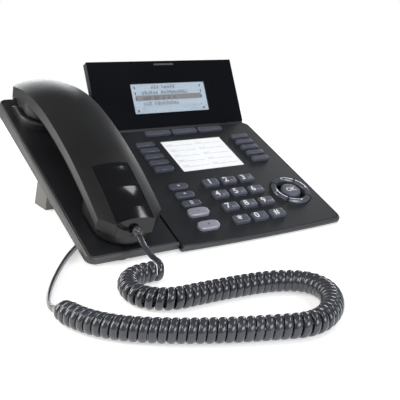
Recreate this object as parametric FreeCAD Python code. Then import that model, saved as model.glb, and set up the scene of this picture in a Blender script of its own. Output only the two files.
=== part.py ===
"""Desk IP phone with a tilting display flap, a corded handset and a fold-down stand.

Most pieces are drawn in the plate frame: U to the right, V from the front edge
towards the back, W out of the sloping top plate. on_desk() then tilts them into
the part frame: X right, Y back, Z up, the origin on the desk under the middle.
Lengths are millimetres.
"""
import FreeCAD, Part
import math
import os

Vec = FreeCAD.Vector

# Limits that lie beyond every handset piece, for cutters in the plate frame
PAST_LOW = -20.0
PAST_TOP = 65.0
PAST_BACK = 240.0

# Overall sizes of the body
BODY_WIDTH = 224.0
CRADLE_DEPTH = 215.0
KEY_BODY_DEPTH = 149.0
PLATE_TILT = 25.0
FRONT_HEIGHT = 6.65
FRONT_LIP = 5.0
FRONT_BULGE = 7.5
CRADLE_WIDTH = 70.0

# Walls and gaps of the body
SKIRT_FRONT = 4.95
SKIRT_SLOPE = 2.0
WALL = 2.0
SKIRT_WALL = 1.2
CORNER_R = 7.0
PLATE_THICK = 2.1
PLATE_GAP = 0.15
SHELL_SEAM = 0.5
EDGE_CHAMFER = 1.2
DESK_GAP = 1.2
BELLY_INSET = 16.0
BELLY_CLEAR = 2.0
BELLY_FLAT_END = 16.0
BELLY_SLOPE = 8.0
BELLY_BACK_INSET = 8.0
BELLY_FRONT_V = 1.0
BELLY_BACK_CUT = 12.0
DECK_DROP = 12.0

# Keys
KEY_TRAVEL = 1.3
KEY_GAP = 0.35
KEY_EDGE_R = 0.6
FLANGE_THICK = 0.9
FLANGE_WIDE = 0.8
FLANGE_GAP = 0.1
MAT_GAP = 0.2
MAT_THICK = 0.9
BOARD_GAP = 0.1
BOARD_THICK = 1.4
CHIPS = ((-15.0, 90.0, 14.0, 1.6), (11.0, 92.0, 10.0, 1.2))
DIAL_PITCH_U = 17.6
DIAL_PITCH_V = 16.2
DIAL_KEY = (13.7, 8.8)
DIAL_FIRST = (-15.6, 61.3)
DIAL_RISE = 2.8
SIDE_KEY = (17.5, 5.8)
SIDE_PITCH = 9.1
SIDE_TOP_V = 123.4
SIDE_LEFT_U = -46.5
SIDE_RIGHT_U = 52.3
SIDE_RISE = 2.6
SOFT_KEY = (25.6, 6.0)
SOFT_PITCH = 27.5
SOFT_FIRST_U = -25.9
SOFT_V = 140.0
MENU_KEY = (16.6, 7.2)
MENU_PITCH = 11.2
MENU_FIRST_V = 62.4
SILVER_KEY = (18.6, 9.4)
LEFT_COLUMN_U = -45.7
NAV_SPOT = (51.9, 37.7)
NAV_OUTER_R = 18.0
NAV_INNER_R = 12.5
NAV_RISE = 2.4
NAV_EDGE_R = 1.6
NAV_NOTCH = (2.2, 8.0)
NAV_NOTCH_FLOOR = 0.6
OK_R = 8.6
OK_SINK = 0.3
BED_LEFT_GAP = 14.0
BED_FRONT_V = 8.7

# Directory card
CARD_SIZE = (61.8, 46.0)
CARD_SPOT = (1.6, 105.1)
CARD_THICK = 0.3
WINDOW_THICK = 0.5
CARD_GAP = 0.4

# Display flap, drawn standing on its hinge: Q up the flap, T out of its face
FLAP_END_GAP = 1.0
FLAP_SPOT_U = -0.6
FLAP_HEIGHT = 64.3
FLAP_THICK = 9.5
FLAP_OPEN = 42.8
HINGE_BEHIND = 5.4
FRONT_PANEL_THICK = 1.5
FLAP_WALL = 1.8
FLAP_FOOT = 7.0
FLAP_CHAMFER = 1.2
PANEL_FOOT = 1.2
PANEL_CHAMFER = 0.5
PANEL_GAP = 0.1
MODULE_MARGIN = (3.0, 4.0)
SCREEN_SIZE = (78.2, 27.9)
SCREEN_SPOT = (0.4, 28.7)
LENS_THICK = 1.1
LAMP_SIZE = (21.0, 1.7)
LAMP_SPOT = (-0.5, 60.8)
LUG_WIDTH = 7.0
LUG_R = 3.0
LUG_GAP = 0.5
PIN_R = 1.5
PIN_GAP = 0.06
FLAP_LUG_SPOTS = (-63.0, 53.0)

# Handset, resting along V
HANDSET_WIDTH = 48.5
HANDSET_PEAK_V = 122.0
HANDSET_PEAK_W = 31.5
FRONT_ARC_R = 365.0
BACK_ARC_R = 200.0
HANDSET_FRONT_V = 5.5
HANDSET_BACK_V = 212.5
FRONT_CHAMFER = (11.5, 12.0)
BACK_CORNER_R = 5.0
FRONT_LEAN = 74.0
FRONT_FOOT_V = 2.5
LIP_HEIGHT = 10.5
LIP_BACK_V = 19.0
SIDE_HEIGHT = 3.4
CROWN = 5.2
GRIP_DEPTH = 11.0
GRIP_R = 6.0
ARC_OVERRUN = 12.0
SEAM_GAP = 0.1
SHELL_WALL = 2.0
SHELL_REVEAL = 0.3
REST_GAP = 0.4
MOUTH_INSET = 1.8
MOUTH_FRONT_V = 5.0
MOUTH_BACK_V = 50.0
MOUTH_SLOPE_LENGTH = 14.0
END_FOOT_R = 4.0
END_TOP_W = 34.0
MOUTH_CORNER_R = 21.5
EAR_LENGTH = 47.0
EAR_BACK_GAP = 3.5
EAR_CORNER_R = 15.0
EAR_BOTTOM_W = 3.0
EAR_HOLES = 6
EAR_HOLE_R = 0.9
EAR_HOLE_RING = 5.0
EAR_SPEAKER_R = (15.0, 9.0)
EAR_SPEAKER_H = 2.5
INSERT_WIDTH = 28.2
INSERT_BACK_V = 58.5
INSERT_THICK = 1.6
INSERT_GAP = 0.1
WAVE_V = (29.0, 47.5)
WAVE_R = 60.0
WAVE_DEEP = 0.8
GROMMET_BALL_R = 4.0
GROMMET_NECK = (2.2, 3.2, 12.0)
GROMMET_AT = (4.0, 14.8)
MIC_V = 28.0
MIC_R = 5.5
MIC_HEIGHT = 4.0
MIC_HOLE_R = 0.7
MIC_HOLE_PITCH = 4.0
SADDLE_GAP = 0.9
SADDLE_WALL = 3.4
SADDLE_RISE = 8.0
SADDLE_FALL = 10.0

# Hook switch under the ear end
HOOK_R = 3.0
HOOK_GAP = 0.3
HOOK_V = 176.0
HOOK_RISE = 3.0

# Stand foot, in the part frame's own Y and Z from the plate's front edge
STAND_SPAN = 168.6
STAND_LEG_THICK = 3.0
STAND_PIVOT = (154.0, 38.4)
STAND_FRONT_Y = 166.3
STAND_BACK_Y = 196.7
STAND_BAR = 6.2
STAND_KNUCKLE_R = 4.0
STAND_TOP_GAP = 0.5
STAND_TOP_REACH = 17.0

# Feet, sockets, speaker and screws
FOOT_R = 6.0
FOOT_AT = (84.0, 12.0)
LINE_SOCKET = (11.7, 8.4, 14.0)
CORD_SOCKET = (7.8, 5.8, 9.0)
SOCKET_WALL = 1.4
CORD_SOCKET_AT = (-87.4, 63.6)
LINE_SOCKET_AT = (30.0, -22.0)
SPEAKER_R = 20.0
SPEAKER_AT = (-20.0, 165.0)
SPEAKER_LIFT = 5.0
SPEAKER_HEIGHTS = (4.0, 5.0)
SPEAKER_MAGNET_R = 11.0
SLOT_PITCH = 5.0
SLOT_WIDTH = 1.6
BOSS_R = 4.2
POST_LENGTH = 3.0
SCREW_HEAD_R = 2.6
SCREW_SHANK_R = 1.4
SCREW_HEAD_H = 1.8
SCREW_SINK = 0.6
DRIVE_WIDTH = 0.7
DRIVE_DEPTH = 0.8
DRIVE_R = 1.6
CRADLE_SCREWS = ((0.0, 40.0), (17.0, 150.0))
KEY_SCREWS = ((-68.0, 40.0), (-68.0, 120.0), (57.0, 72.0), (53.0, 138.0))

# Cord: chosen route points, as X, distance behind the plate's front edge, and height over the desk
LEAD_D = 4.0
COIL_D = 13.4
CORD_JOINT_GAP = 0.4
HANDSET_LEAD = (
    (-77.0, -5.9, 18.9), (-76.9, -13.6, 14.6), (-76.4, -22.6, 11.6), (-75.6, -32.0, 9.6),
    (-75.8, -39.3, 8.4), (-81.8, -42.0, 6.7),
)
COIL_ROUTE = (
    (-81.8, -42.0, 6.7), (-99.0, -39.6, 6.7), (-111.5, -55.6, 6.7), (-112.0, -75.6, 6.7),
    (-99.5, -87.6, 6.7), (-79.0, -88.3, 6.7), (-53.5, -90.5, 6.7), (-30.5, -94.6, 6.7),
    (-14.2, -106.1, 6.7), (-14.8, -125.6, 6.7), (-31.0, -146.1, 6.7), (-52.0, -155.1, 6.7),
    (-73.0, -146.6, 6.7), (-95.5, -136.6, 6.7), (-118.0, -123.4, 6.7), (-138.5, -107.6, 6.7),
    (-150.8, -89.1, 6.7), (-155.6, -69.6, 6.7),
)
BASE_LEAD = (
    (-155.6, -69.6, 6.7), (-158.6, -56.6, 3.6), (-153.8, -39.6, 2.1), (-144.6, -19.7, 2.1),
    (-132.4, 1.9, 2.1), (-119.6, 22.5, 2.1), (-107.4, 39.3, 2.1), (-96.6, 52.5, 2.4),
    (-88.4, 62.3, 4.4), (-87.4, 63.6, 10.4),
)
PLUG_ARM = (3.2, 11.0, 0.9)
PLUG_GAP = 0.15

SIN_TILT = math.sin(math.radians(PLATE_TILT))
COS_TILT = math.cos(math.radians(PLATE_TILT))
HALF = BODY_WIDTH / 2
GROOVE_U = -HALF + CRADLE_WIDTH
SKIRT_BACK = SKIRT_FRONT + CRADLE_DEPTH * math.tan(math.radians(SKIRT_SLOPE))
FRONT_Y = -(CRADLE_DEPTH * COS_TILT + SKIRT_BACK * SIN_TILT - FRONT_BULGE * COS_TILT) / 2
BELLY_HALF = HALF - BELLY_INSET
PLATE_EDGE = WALL + PLATE_GAP
FLANGE_TOP = -PLATE_THICK - FLANGE_GAP
MAT_TOP = FLANGE_TOP - FLANGE_THICK - KEY_TRAVEL - MAT_GAP
BOARD_TOP = MAT_TOP - MAT_THICK - BOARD_GAP
HINGE_W = -FLAP_THICK / 2
EAR_BACK_V = HANDSET_BACK_V - EAR_BACK_GAP
EAR_FRONT_V = EAR_BACK_V - EAR_LENGTH
BELLY_BACK = CRADLE_DEPTH - BELLY_BACK_INSET
CARD_POCKET = CARD_THICK + WINDOW_THICK + 0.1
HANDSET_U = (-HALF + GROOVE_U) / 2
KEY_MIDDLE_U = (GROOVE_U + HALF) / 2
NAV_CENTRE = (KEY_MIDDLE_U + NAV_SPOT[0], NAV_SPOT[1])
CARD_CENTRE = (KEY_MIDDLE_U + CARD_SPOT[0], CARD_SPOT[1])
SCREEN_CENTRE = (KEY_MIDDLE_U + SCREEN_SPOT[0], SCREEN_SPOT[1])
LAMP_CENTRE = (KEY_MIDDLE_U + LAMP_SPOT[0], LAMP_SPOT[1])
FLAP_WIDTH = HALF - GROOVE_U - 2 * FLAP_END_GAP
FLAP_LUG_U = [KEY_MIDDLE_U + u for u in FLAP_LUG_SPOTS]
HINGE_V = KEY_BODY_DEPTH + HINGE_BEHIND
SCREW_SPOTS = [(HANDSET_U + u, v) for u, v in CRADLE_SCREWS] + [(KEY_MIDDLE_U + u, v) for u, v in KEY_SCREWS]


def box(u0, u1, v0, v1, w0, w1):
    return Part.makeBox(u1 - u0, v1 - v0, w1 - w0, Vec(u0, v0, w0))


def upright(shape, corner):
    """Round the edges of a box that run along W."""
    edges = [e for e in shape.Edges if abs(e.Vertexes[0].Z - e.Vertexes[-1].Z) > 1e-6]
    return shape.makeFillet(corner, edges)


def level_edges(shape, level):
    return [e for e in shape.Edges if all(abs(v.Z - level) < 1e-6 for v in e.Vertexes)]


def pad(centre, size, w0, w1, corner):
    """A block with round corners, given by its centre and its size along U and V."""
    u, v = centre
    lu, lv = size
    return upright(box(u - lu / 2, u + lu / 2, v - lv / 2, v + lv / 2, w0, w1), corner)


def disc(centre, radius, w0, w1):
    return Part.makeCylinder(radius, w1 - w0, Vec(centre[0], centre[1], w0))


def stands_on(edge, corner):
    """True for an edge that runs along W over this corner."""
    return all(math.hypot(end.X - corner.x, end.Y - corner.y) < 1e-6 for end in edge.Vertexes)


def side_prism(points, u0, u1):
    """Extrude an outline of (V, W) points along U."""
    corners = [Vec(u0, v, w) for v, w in points]
    face = Part.Face(Part.makePolygon(corners + corners[:1]))
    return face.extrude(Vec(u1 - u0, 0, 0))


def rod_u(v, w, radius, u0, u1):
    return Part.makeCylinder(radius, u1 - u0, Vec(u0, v, w), Vec(1, 0, 0))


def on_desk(shape):
    """Tilt a piece from the plate frame into the part frame."""
    placed = shape.copy()
    placed.rotate(Vec(0, 0, 0), Vec(1, 0, 0), PLATE_TILT)
    placed.translate(Vec(0, FRONT_Y, FRONT_HEIGHT))
    return placed


def from_flap(shape):
    """Turn a piece drawn in the flap's U, Q, T into the plate frame, at its rest angle."""
    placed = shape.copy()
    placed.rotate(Vec(0, 0, 0), Vec(1, 0, 0), FLAP_OPEN)
    placed.translate(Vec(0, HINGE_V, HINGE_W))
    return placed


def merge(shapes):
    first = shapes[0]
    if len(shapes) == 1:
        return first
    return first.fuse(list(shapes[1:])).removeSplitter()


def write(name, shape):
    if not shape.isValid():
        raise ValueError(name + " is not a valid shape")
    shape.exportStep("parts/" + name + ".step")
    print(name, "solids", len(shape.Solids), "volume", round(shape.Volume, 1))


# ---- Body ------------------------------------------------------------------

def belly_level(v):
    """W of the belly's sloping underside."""
    flat_end = (BELLY_CLEAR - FRONT_HEIGHT - BELLY_FLAT_END * SIN_TILT) / COS_TILT
    return flat_end - (v - BELLY_FLAT_END) * math.tan(math.radians(BELLY_SLOPE))


def level_at(v, height):
    """W of the point at V that stands at this height over the desk."""
    return (height - FRONT_HEIGHT - v * SIN_TILT) / COS_TILT


def skirt_level(v):
    return -SKIRT_FRONT - v * math.tan(math.radians(SKIRT_SLOPE))


def skirt_profile(inset, floor, top):
    """Side outline of the flat outer skirt, moved in by inset and up by floor."""
    front = -FRONT_BULGE - 1.0 + inset
    low_front = (DESK_GAP - FRONT_HEIGHT + SKIRT_FRONT * COS_TILT) / SIN_TILT
    back = CRADLE_DEPTH - inset
    return [
        (front, level_at(front, DESK_GAP) + floor),
        (low_front, -SKIRT_FRONT + floor),
        (back, skirt_level(back) + floor),
        (back, top),
        (front, top),
    ]


def body_plan(inset, back_inset, top, bottom):
    """The L-shaped plan: a long cradle side and a shorter key side with a bowed front."""
    u_left = -HALF + inset
    u_right = HALF - inset
    v_lip = -FRONT_LIP + inset
    bow = Vec((GROOVE_U + u_right) / 2, -FRONT_BULGE + inset, bottom)
    start = Vec(GROOVE_U, v_lip, bottom)
    end = Vec(u_right, v_lip, bottom)
    v_back = KEY_BODY_DEPTH - back_inset
    u_step = GROOVE_U - back_inset
    corners = [
        end, Vec(u_right, v_back, bottom), Vec(u_step, v_back, bottom),
        Vec(u_step, CRADLE_DEPTH - inset, bottom), Vec(u_left, CRADLE_DEPTH - inset, bottom),
        Vec(u_left, inset, bottom), Vec(GROOVE_U, inset, bottom), start,
    ]
    edges = [Part.LineSegment(a, b).toShape() for a, b in zip(corners, corners[1:])]
    edges.append(Part.Arc(start, bow, end).toShape())
    blank = Part.Face(Part.Wire(edges)).extrude(Vec(0, 0, top - bottom))
    outer = [corners[0], corners[1], corners[3], corners[4], corners[5]]
    rounded = [e for e in blank.Edges if any(stands_on(e, c) for c in outer)]
    return blank.makeFillet(CORNER_R - inset, rounded)


def belly_profile(inset, left_side):
    """Side outline of the belly. The right side is lower behind the key plate, for the flap."""
    back = BELLY_BACK - inset
    front = BELLY_FRONT_V + inset
    lift = inset
    cut_v = back - BELLY_BACK_CUT
    outline = [
        (front, level_at(front, BELLY_CLEAR) + lift),
        (BELLY_FLAT_END, belly_level(BELLY_FLAT_END) + lift),
        (cut_v, belly_level(cut_v) + lift),
        (back, belly_level(cut_v) + BELLY_BACK_CUT + lift),
    ]
    if left_side:
        return outline + [(back, -PLATE_THICK), (front, -PLATE_THICK)]
    deck = -DECK_DROP - inset
    step = KEY_BODY_DEPTH - inset
    return outline + [(back, deck), (step, deck), (step, -PLATE_THICK), (front, -PLATE_THICK)]


def belly(inset):
    left = side_prism(belly_profile(inset, True), -BELLY_HALF + inset, GROOVE_U - inset)
    right = side_prism(belly_profile(inset, False), GROOVE_U - inset, BELLY_HALF - inset)
    return merge([left, right])


def screw_places():
    return [(u, v, belly_level(v)) for u, v in SCREW_SPOTS]


def flap_lug(centre_u):
    u0 = centre_u - LUG_WIDTH / 2
    u1 = centre_u + LUG_WIDTH / 2
    stem = box(u0, u1, HINGE_V - LUG_R, HINGE_V + LUG_R, -DECK_DROP - 0.5, HINGE_W)
    lug = merge([stem, rod_u(HINGE_V, HINGE_W, LUG_R, u0, u1)])
    return lug.cut(rod_u(HINGE_V, HINGE_W, PIN_R + PIN_GAP, u0 - 1, u1 + 1))


def from_plate_front(y, z):
    """Plate-frame (V, W) of a point given by its height and its distance behind the front edge."""
    rise = z - FRONT_HEIGHT
    return (y * COS_TILT + rise * SIN_TILT, -y * SIN_TILT + rise * COS_TILT)


def stand_lug(side):
    """A lug under the belly that carries one leg of the stand."""
    inner = STAND_SPAN / 2 - STAND_LEG_THICK - LUG_GAP - LUG_WIDTH
    u0 = min(side * inner, side * (inner + LUG_WIDTH))
    u1 = u0 + LUG_WIDTH
    v, w = from_plate_front(*STAND_PIVOT)
    root = belly_level(v) + 1.0
    stem = box(u0, u1, v - STAND_KNUCKLE_R, v + STAND_KNUCKLE_R, w, root)
    lug = merge([stem, rod_u(v, w, STAND_KNUCKLE_R, u0, u1)])
    return lug, rod_u(v, w, PIN_R + PIN_GAP, u0 - 0.1, u1 + 0.1)


def upright_box(v, w, half_v, half_w, u0, u1):
    """A block whose section stands square to the desk, centred on (V, W)."""
    block = box(u0, u1, v - half_v, v + half_v, w - half_w, w + half_w)
    block.rotate(Vec(0, v, w), Vec(1, 0, 0), -PLATE_TILT)
    return block


def cord_socket_block(wall):
    """The handset cord's socket, upright in the belly with its mouth down, or with no wall its mouth."""
    u, back = CORD_SOCKET_AT
    wide, thick, deep = CORD_SOCKET
    low = belly_line(back - thick / 2 - SOCKET_WALL)
    high = belly_line(back) + deep + wall
    v, w = from_plate_front(back, (low + high) / 2)
    return upright_box(v, w, thick / 2 + wall, (high - low) / 2, u - wide / 2 - wall, u + wide / 2 + wall)


def line_socket_block(wall):
    """The network socket's block, or with no wall its mouth, square to the desk."""
    u, w = LINE_SOCKET_AT
    wide, high, deep = LINE_SOCKET
    v = BELLY_BACK - deep / 2 + 1.0
    half_u = wide / 2 + wall
    return upright_box(v, w, deep / 2 + wall, high / 2 + wall, u - half_u, u + half_u)


def speaker_slots():
    """Sound slots through the belly's underside, below the speaker."""
    u, v = SPEAKER_AT
    slots = []
    for row in range(-3, 4):
        row_v = v + row * SLOT_PITCH
        half = math.sqrt((SPEAKER_R - SLOT_WIDTH) ** 2 - (row_v - v) ** 2)
        w = belly_level(row_v)
        v0 = row_v - SLOT_WIDTH / 2
        slots.append(box(u - half, u + half, v0, v0 + SLOT_WIDTH, w - 2, w + WALL + 2))
    return slots


def make_lower_housing():
    skirt = body_plan(0.0, 0.0, 0.0, -30.0).common(side_prism(skirt_profile(0.0, 0.0, 0.0), -HALF, HALF))
    rim = [e for e in level_edges(skirt, 0.0)]
    skirt = skirt.makeChamfer(EDGE_CHAMFER, rim)
    outer = merge([skirt, belly(0.0)])
    room = body_plan(WALL, WALL, 1.0, -30.0)
    room = room.common(side_prism(skirt_profile(WALL, SKIRT_WALL, 1.0), -HALF, HALF))
    shell = outer.cut(merge([room, belly(WALL)]))
    for u, v, low in screw_places():
        shell = shell.fuse(disc((u, v), BOSS_R, low + 1.0, -PLATE_THICK - POST_LENGTH))
        shell = shell.cut(disc((u, v), SCREW_SHANK_R + 0.2, low - 1, 0))
        shell = shell.cut(disc((u, v), SCREW_HEAD_R + 0.3, low - 6, low + SCREW_SINK + SCREW_HEAD_H))
    for centre_u in FLAP_LUG_U:
        shell = shell.fuse(flap_lug(centre_u))
    for side in (-1, 1):
        lug, bore = stand_lug(side)
        shell = shell.fuse(lug).cut(bore)
    shell = shell.cut(speaker_slots())
    shell = shell.cut([cord_socket_block(SOCKET_WALL), line_socket_block(SOCKET_WALL)])
    return shell.removeSplitter()


def plate_post(u, v):
    """A post under a top plate that a housing screw bites into."""
    post = disc((u, v), BOSS_R, -PLATE_THICK - POST_LENGTH, -PLATE_THICK + 0.5)
    return post, disc((u, v), SCREW_SHANK_R + 0.05, -PLATE_THICK - POST_LENGTH - 1.0, -PLATE_THICK + 0.3)


def with_posts(plate, left_side):
    for u, v in SCREW_SPOTS:
        if (u < GROOVE_U) == left_side:
            post, bore = plate_post(u, v)
            plate = plate.fuse(post).cut(bore)
    return plate.removeSplitter()


def hook_hole(grow, w0, w1):
    return disc((HANDSET_U, HOOK_V), HOOK_R + grow, w0, w1)


def saddle_profile():
    """The saddle is full height beside the ear end and falls away behind it."""
    low = -PLATE_THICK / 2
    v0 = EAR_FRONT_V - 2 * SADDLE_RISE
    v1 = CRADLE_DEPTH - PLATE_EDGE - SHELL_SEAM
    back = EAR_BOTTOM_W - 2 * REST_GAP
    fall = EAR_BACK_V - SADDLE_FALL
    outline = [
        (v0, low), (v0, SADDLE_RISE), (fall - 1.6 * SADDLE_RISE, SADDLE_RISE),
        (fall, back), (v1, back), (v1, low),
    ]
    return side_prism(outline, -HALF, GROOVE_U)


def make_cradle_housing():
    """Left top shell: the flat plate, the saddle round the ear end and the hook switch hole."""
    plate = body_plan(PLATE_EDGE, PLATE_EDGE, 0.0, -PLATE_THICK)
    plate = plate.common(box(-HALF, GROOVE_U - SHELL_SEAM, -20.0, CRADLE_DEPTH, -PLATE_THICK, 0.0))
    plate = plate.makeChamfer(SHELL_SEAM, level_edges(plate, 0.0))
    grow = SADDLE_GAP + SADDLE_WALL
    saddle = ear_block(grow, -PLATE_THICK / 2, SADDLE_RISE)
    saddle = saddle.makeFillet(SADDLE_WALL * 0.6, level_edges(saddle, SADDLE_RISE))
    saddle = saddle.common(saddle_profile())
    dish = ear_block(SADDLE_GAP, EAR_BOTTOM_W - REST_GAP, SADDLE_RISE + 1)
    plate = merge([plate, saddle]).cut(dish)
    plate = plate.cut(hook_hole(HOOK_GAP, -PLATE_THICK - 1, SADDLE_RISE))
    return with_posts(plate, True)


def key_holes():
    holes = []
    for name, centre, size, rise, corner in key_list():
        grown = (size[0] + 2 * KEY_GAP, size[1] + 2 * KEY_GAP)
        holes.append(pad(centre, grown, -PLATE_THICK - 1, 1.0, corner + KEY_GAP))
    holes.append(disc(NAV_CENTRE, NAV_OUTER_R + KEY_GAP + 0.2, -PLATE_THICK - 1, 1.0))
    return holes


def make_key_plate():
    """Right top shell with its key holes and the pocket of the directory card."""
    plate = body_plan(PLATE_EDGE, PLATE_EDGE, 0.0, -PLATE_THICK)
    left = GROOVE_U + SHELL_SEAM
    keep = box(left, HALF, -20.0, KEY_BODY_DEPTH, -PLATE_THICK, 0.0)
    plate = plate.common(keep)
    plate = plate.makeChamfer(SHELL_SEAM, level_edges(plate, 0.0))
    plate = plate.cut(key_holes())
    pocket = (CARD_SIZE[0] + CARD_GAP, CARD_SIZE[1] + CARD_GAP)
    plate = plate.cut(pad(CARD_CENTRE, pocket, -CARD_POCKET, 1.0, 1.0))
    return with_posts(plate, False)


def key_bed(top, thick):
    """Outline of the mat and of the board, clear of the screw posts."""
    u1 = BELLY_HALF - WALL - 0.5
    v1 = KEY_BODY_DEPTH - WALL - 1.5
    bed = box(GROOVE_U + BED_LEFT_GAP, u1, BED_FRONT_V, v1, top - thick, top)
    for u, v in SCREW_SPOTS:
        bed = bed.cut(disc((u, v), BOSS_R + 0.6, top - thick - 1, top + 1))
    return bed


def make_key_mat():
    mat = key_bed(MAT_TOP, MAT_THICK)
    return mat.cut(disc(NAV_CENTRE, NAV_OUTER_R + 2.5, MAT_TOP - MAT_THICK - 1, MAT_TOP + 1))


def make_circuit_board():
    board = key_bed(BOARD_TOP, BOARD_THICK)
    low = BOARD_TOP - BOARD_THICK
    chips = []
    for spot_u, v, size, high in CHIPS:
        u = KEY_MIDDLE_U + spot_u
        chips.append(box(u, u + size, v, v + size, low - high, low))
    return merge([board] + chips)


# ---- Keys ------------------------------------------------------------------

def key_list():
    """Every square key: name, centre, size, rise over the plate and corner radius."""
    keys = []
    marks = ("1", "2", "3", "4", "5", "6", "7", "8", "9", "star", "0", "hash")
    for place, mark in enumerate(marks):
        row, column = divmod(place, 3)
        centre = (KEY_MIDDLE_U + DIAL_FIRST[0] + column * DIAL_PITCH_U, DIAL_FIRST[1] - row * DIAL_PITCH_V)
        keys.append(("dial_key_" + mark, centre, DIAL_KEY, DIAL_RISE, 1.2))
    for side, centre_u in (("left", SIDE_LEFT_U), ("right", SIDE_RIGHT_U)):
        for row in range(5):
            centre = (KEY_MIDDLE_U + centre_u, SIDE_TOP_V - row * SIDE_PITCH)
            keys.append(("line_key_" + side + "_" + str(row + 1), centre, SIDE_KEY, SIDE_RISE, 1.4))
    for column in range(3):
        centre = (KEY_MIDDLE_U + SOFT_FIRST_U + column * SOFT_PITCH, SOFT_V)
        keys.append(("soft_key_" + str(column + 1), centre, SOFT_KEY, SIDE_RISE, 1.8))
    for row in range(3):
        centre = (KEY_MIDDLE_U + LEFT_COLUMN_U, MENU_FIRST_V - row * MENU_PITCH)
        keys.append(("menu_key_" + str(row + 1), centre, MENU_KEY, SIDE_RISE - 0.6, 2.6))
    for row in range(2):
        centre = (KEY_MIDDLE_U + LEFT_COLUMN_U, DIAL_FIRST[1] - (row + 2) * DIAL_PITCH_V)
        keys.append(("silver_key_" + str(row + 1), centre, SILVER_KEY, SIDE_RISE - 0.2, 3.4))
    return keys


def make_key(centre, size, rise, corner):
    cap = pad(centre, size, FLANGE_TOP, rise, corner)
    cap = cap.makeFillet(KEY_EDGE_R, level_edges(cap, rise))
    wide = (size[0] + 2 * FLANGE_WIDE, size[1] + 2 * FLANGE_WIDE)
    flange = pad(centre, wide, FLANGE_TOP - FLANGE_THICK, FLANGE_TOP, corner)
    return merge([cap, flange])


def make_nav_ring():
    """Rocking ring in four quarters round the centre key, with a notch at the top and bottom."""
    low = FLANGE_TOP - FLANGE_THICK
    middle = (NAV_OUTER_R + NAV_INNER_R) / 2
    body = disc(NAV_CENTRE, NAV_OUTER_R, low, NAV_RISE)
    body = body.makeFillet(NAV_EDGE_R, level_edges(body, NAV_RISE))
    bore = disc(NAV_CENTRE, NAV_INNER_R, low - 1, NAV_RISE + 1)
    body = body.cut(bore)
    for side in (-1, 1):
        notch_v = NAV_CENTRE[1] + side * middle
        body = body.cut(pad((NAV_CENTRE[0], notch_v), NAV_NOTCH, NAV_NOTCH_FLOOR, NAV_RISE + 1, 0.5))
    return body


def make_ok_key():
    top = NAV_RISE - OK_SINK
    cap = disc(NAV_CENTRE, OK_R, FLANGE_TOP - FLANGE_THICK, top)
    return cap.makeFillet(KEY_EDGE_R, level_edges(cap, top))


# ---- Display flap ----------------------------------------------------------

def flap_u():
    middle = KEY_MIDDLE_U + FLAP_SPOT_U
    return middle - FLAP_WIDTH / 2, middle + FLAP_WIDTH / 2


def flap_blank(t0, t1, q0, inset):
    u0, u1 = flap_u()
    return box(u0 + inset, u1 - inset, q0, FLAP_HEIGHT - inset, t0, t1)


def make_flap_cover():
    """Rear cover with the round hinge barrel along its foot and the pins that turn in the lugs."""
    half = FLAP_THICK / 2
    panel_back = half - FRONT_PANEL_THICK
    u0, u1 = flap_u()
    cover = flap_blank(-half, panel_back, 0.0, 0.0)
    cover = cover.makeChamfer(FLAP_CHAMFER, [e for e in level_edges(cover, -half) if e.Vertexes[0].Y > 1.0])
    barrel = rod_u(0.0, 0.0, half, u0, u1).common(box(u0, u1, -half, 2.0, -half, panel_back))
    cover = merge([cover, barrel])
    room = box(u0 + FLAP_WALL, u1 - FLAP_WALL, FLAP_FOOT, FLAP_HEIGHT - FLAP_WALL, -half + FLAP_WALL, half)
    cover = cover.cut(room)
    clear = LUG_R + LUG_GAP
    for centre_u in FLAP_LUG_U:
        n0 = centre_u - LUG_WIDTH / 2 - LUG_GAP
        n1 = centre_u + LUG_WIDTH / 2 + LUG_GAP
        cover = cover.cut(box(n0, n1, -half - 1, clear, -half - 1, panel_back))
        cover = cover.fuse(rod_u(0.0, 0.0, PIN_R, n0 - 0.5, n1 + 0.5))
    return cover.removeSplitter()


def make_front_panel():
    half = FLAP_THICK / 2
    panel = flap_blank(half - FRONT_PANEL_THICK, half, PANEL_FOOT, 0.0)
    panel = panel.makeChamfer(PANEL_CHAMFER, [e for e in level_edges(panel, half) if e.Vertexes[0].Y > 2.0])
    screen = (SCREEN_SIZE[0] + 2 * PANEL_GAP, SCREEN_SIZE[1] + 2 * PANEL_GAP)
    panel = panel.cut(pad(SCREEN_CENTRE, screen, 0.0, half + 1, 0.6))
    lamp = (LAMP_SIZE[0] + PANEL_GAP, LAMP_SIZE[1] + PANEL_GAP)
    return panel.cut(pad(LAMP_CENTRE, lamp, 0.0, half + 1, 0.8))


def make_screen_lens():
    back = FLAP_THICK / 2 - FRONT_PANEL_THICK
    return pad(SCREEN_CENTRE, SCREEN_SIZE, back, back + LENS_THICK, 0.5)


def make_screen_module():
    top = FLAP_THICK / 2 - FRONT_PANEL_THICK
    size = (SCREEN_SIZE[0] + 2 * MODULE_MARGIN[0], SCREEN_SIZE[1] + 2 * MODULE_MARGIN[1])
    return pad(SCREEN_CENTRE, size, -FLAP_THICK / 2 + FLAP_WALL, top, 1.0)


def make_message_lamp():
    back = FLAP_THICK / 2 - FRONT_PANEL_THICK
    return pad(LAMP_CENTRE, LAMP_SIZE, back, FLAP_THICK / 2, 0.7)


# ---- Handset ---------------------------------------------------------------

def arch(section):
    """Sweep a section standing at the handset's highest point along its two joined arcs."""
    bodies = []
    for radius, sign in ((FRONT_ARC_R, 1), (BACK_ARC_R, -1)):
        centre = Vec(HANDSET_U, HANDSET_PEAK_V, HANDSET_PEAK_W - radius)
        face = section(HANDSET_PEAK_W)
        reach = HANDSET_PEAK_V - HANDSET_FRONT_V if sign > 0 else HANDSET_BACK_V - HANDSET_PEAK_V
        turn = math.degrees(math.asin((reach + ARC_OVERRUN) / radius))
        bodies.append(face.revolve(centre, Vec(1, 0, 0), sign * turn))
    return merge(bodies)


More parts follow.
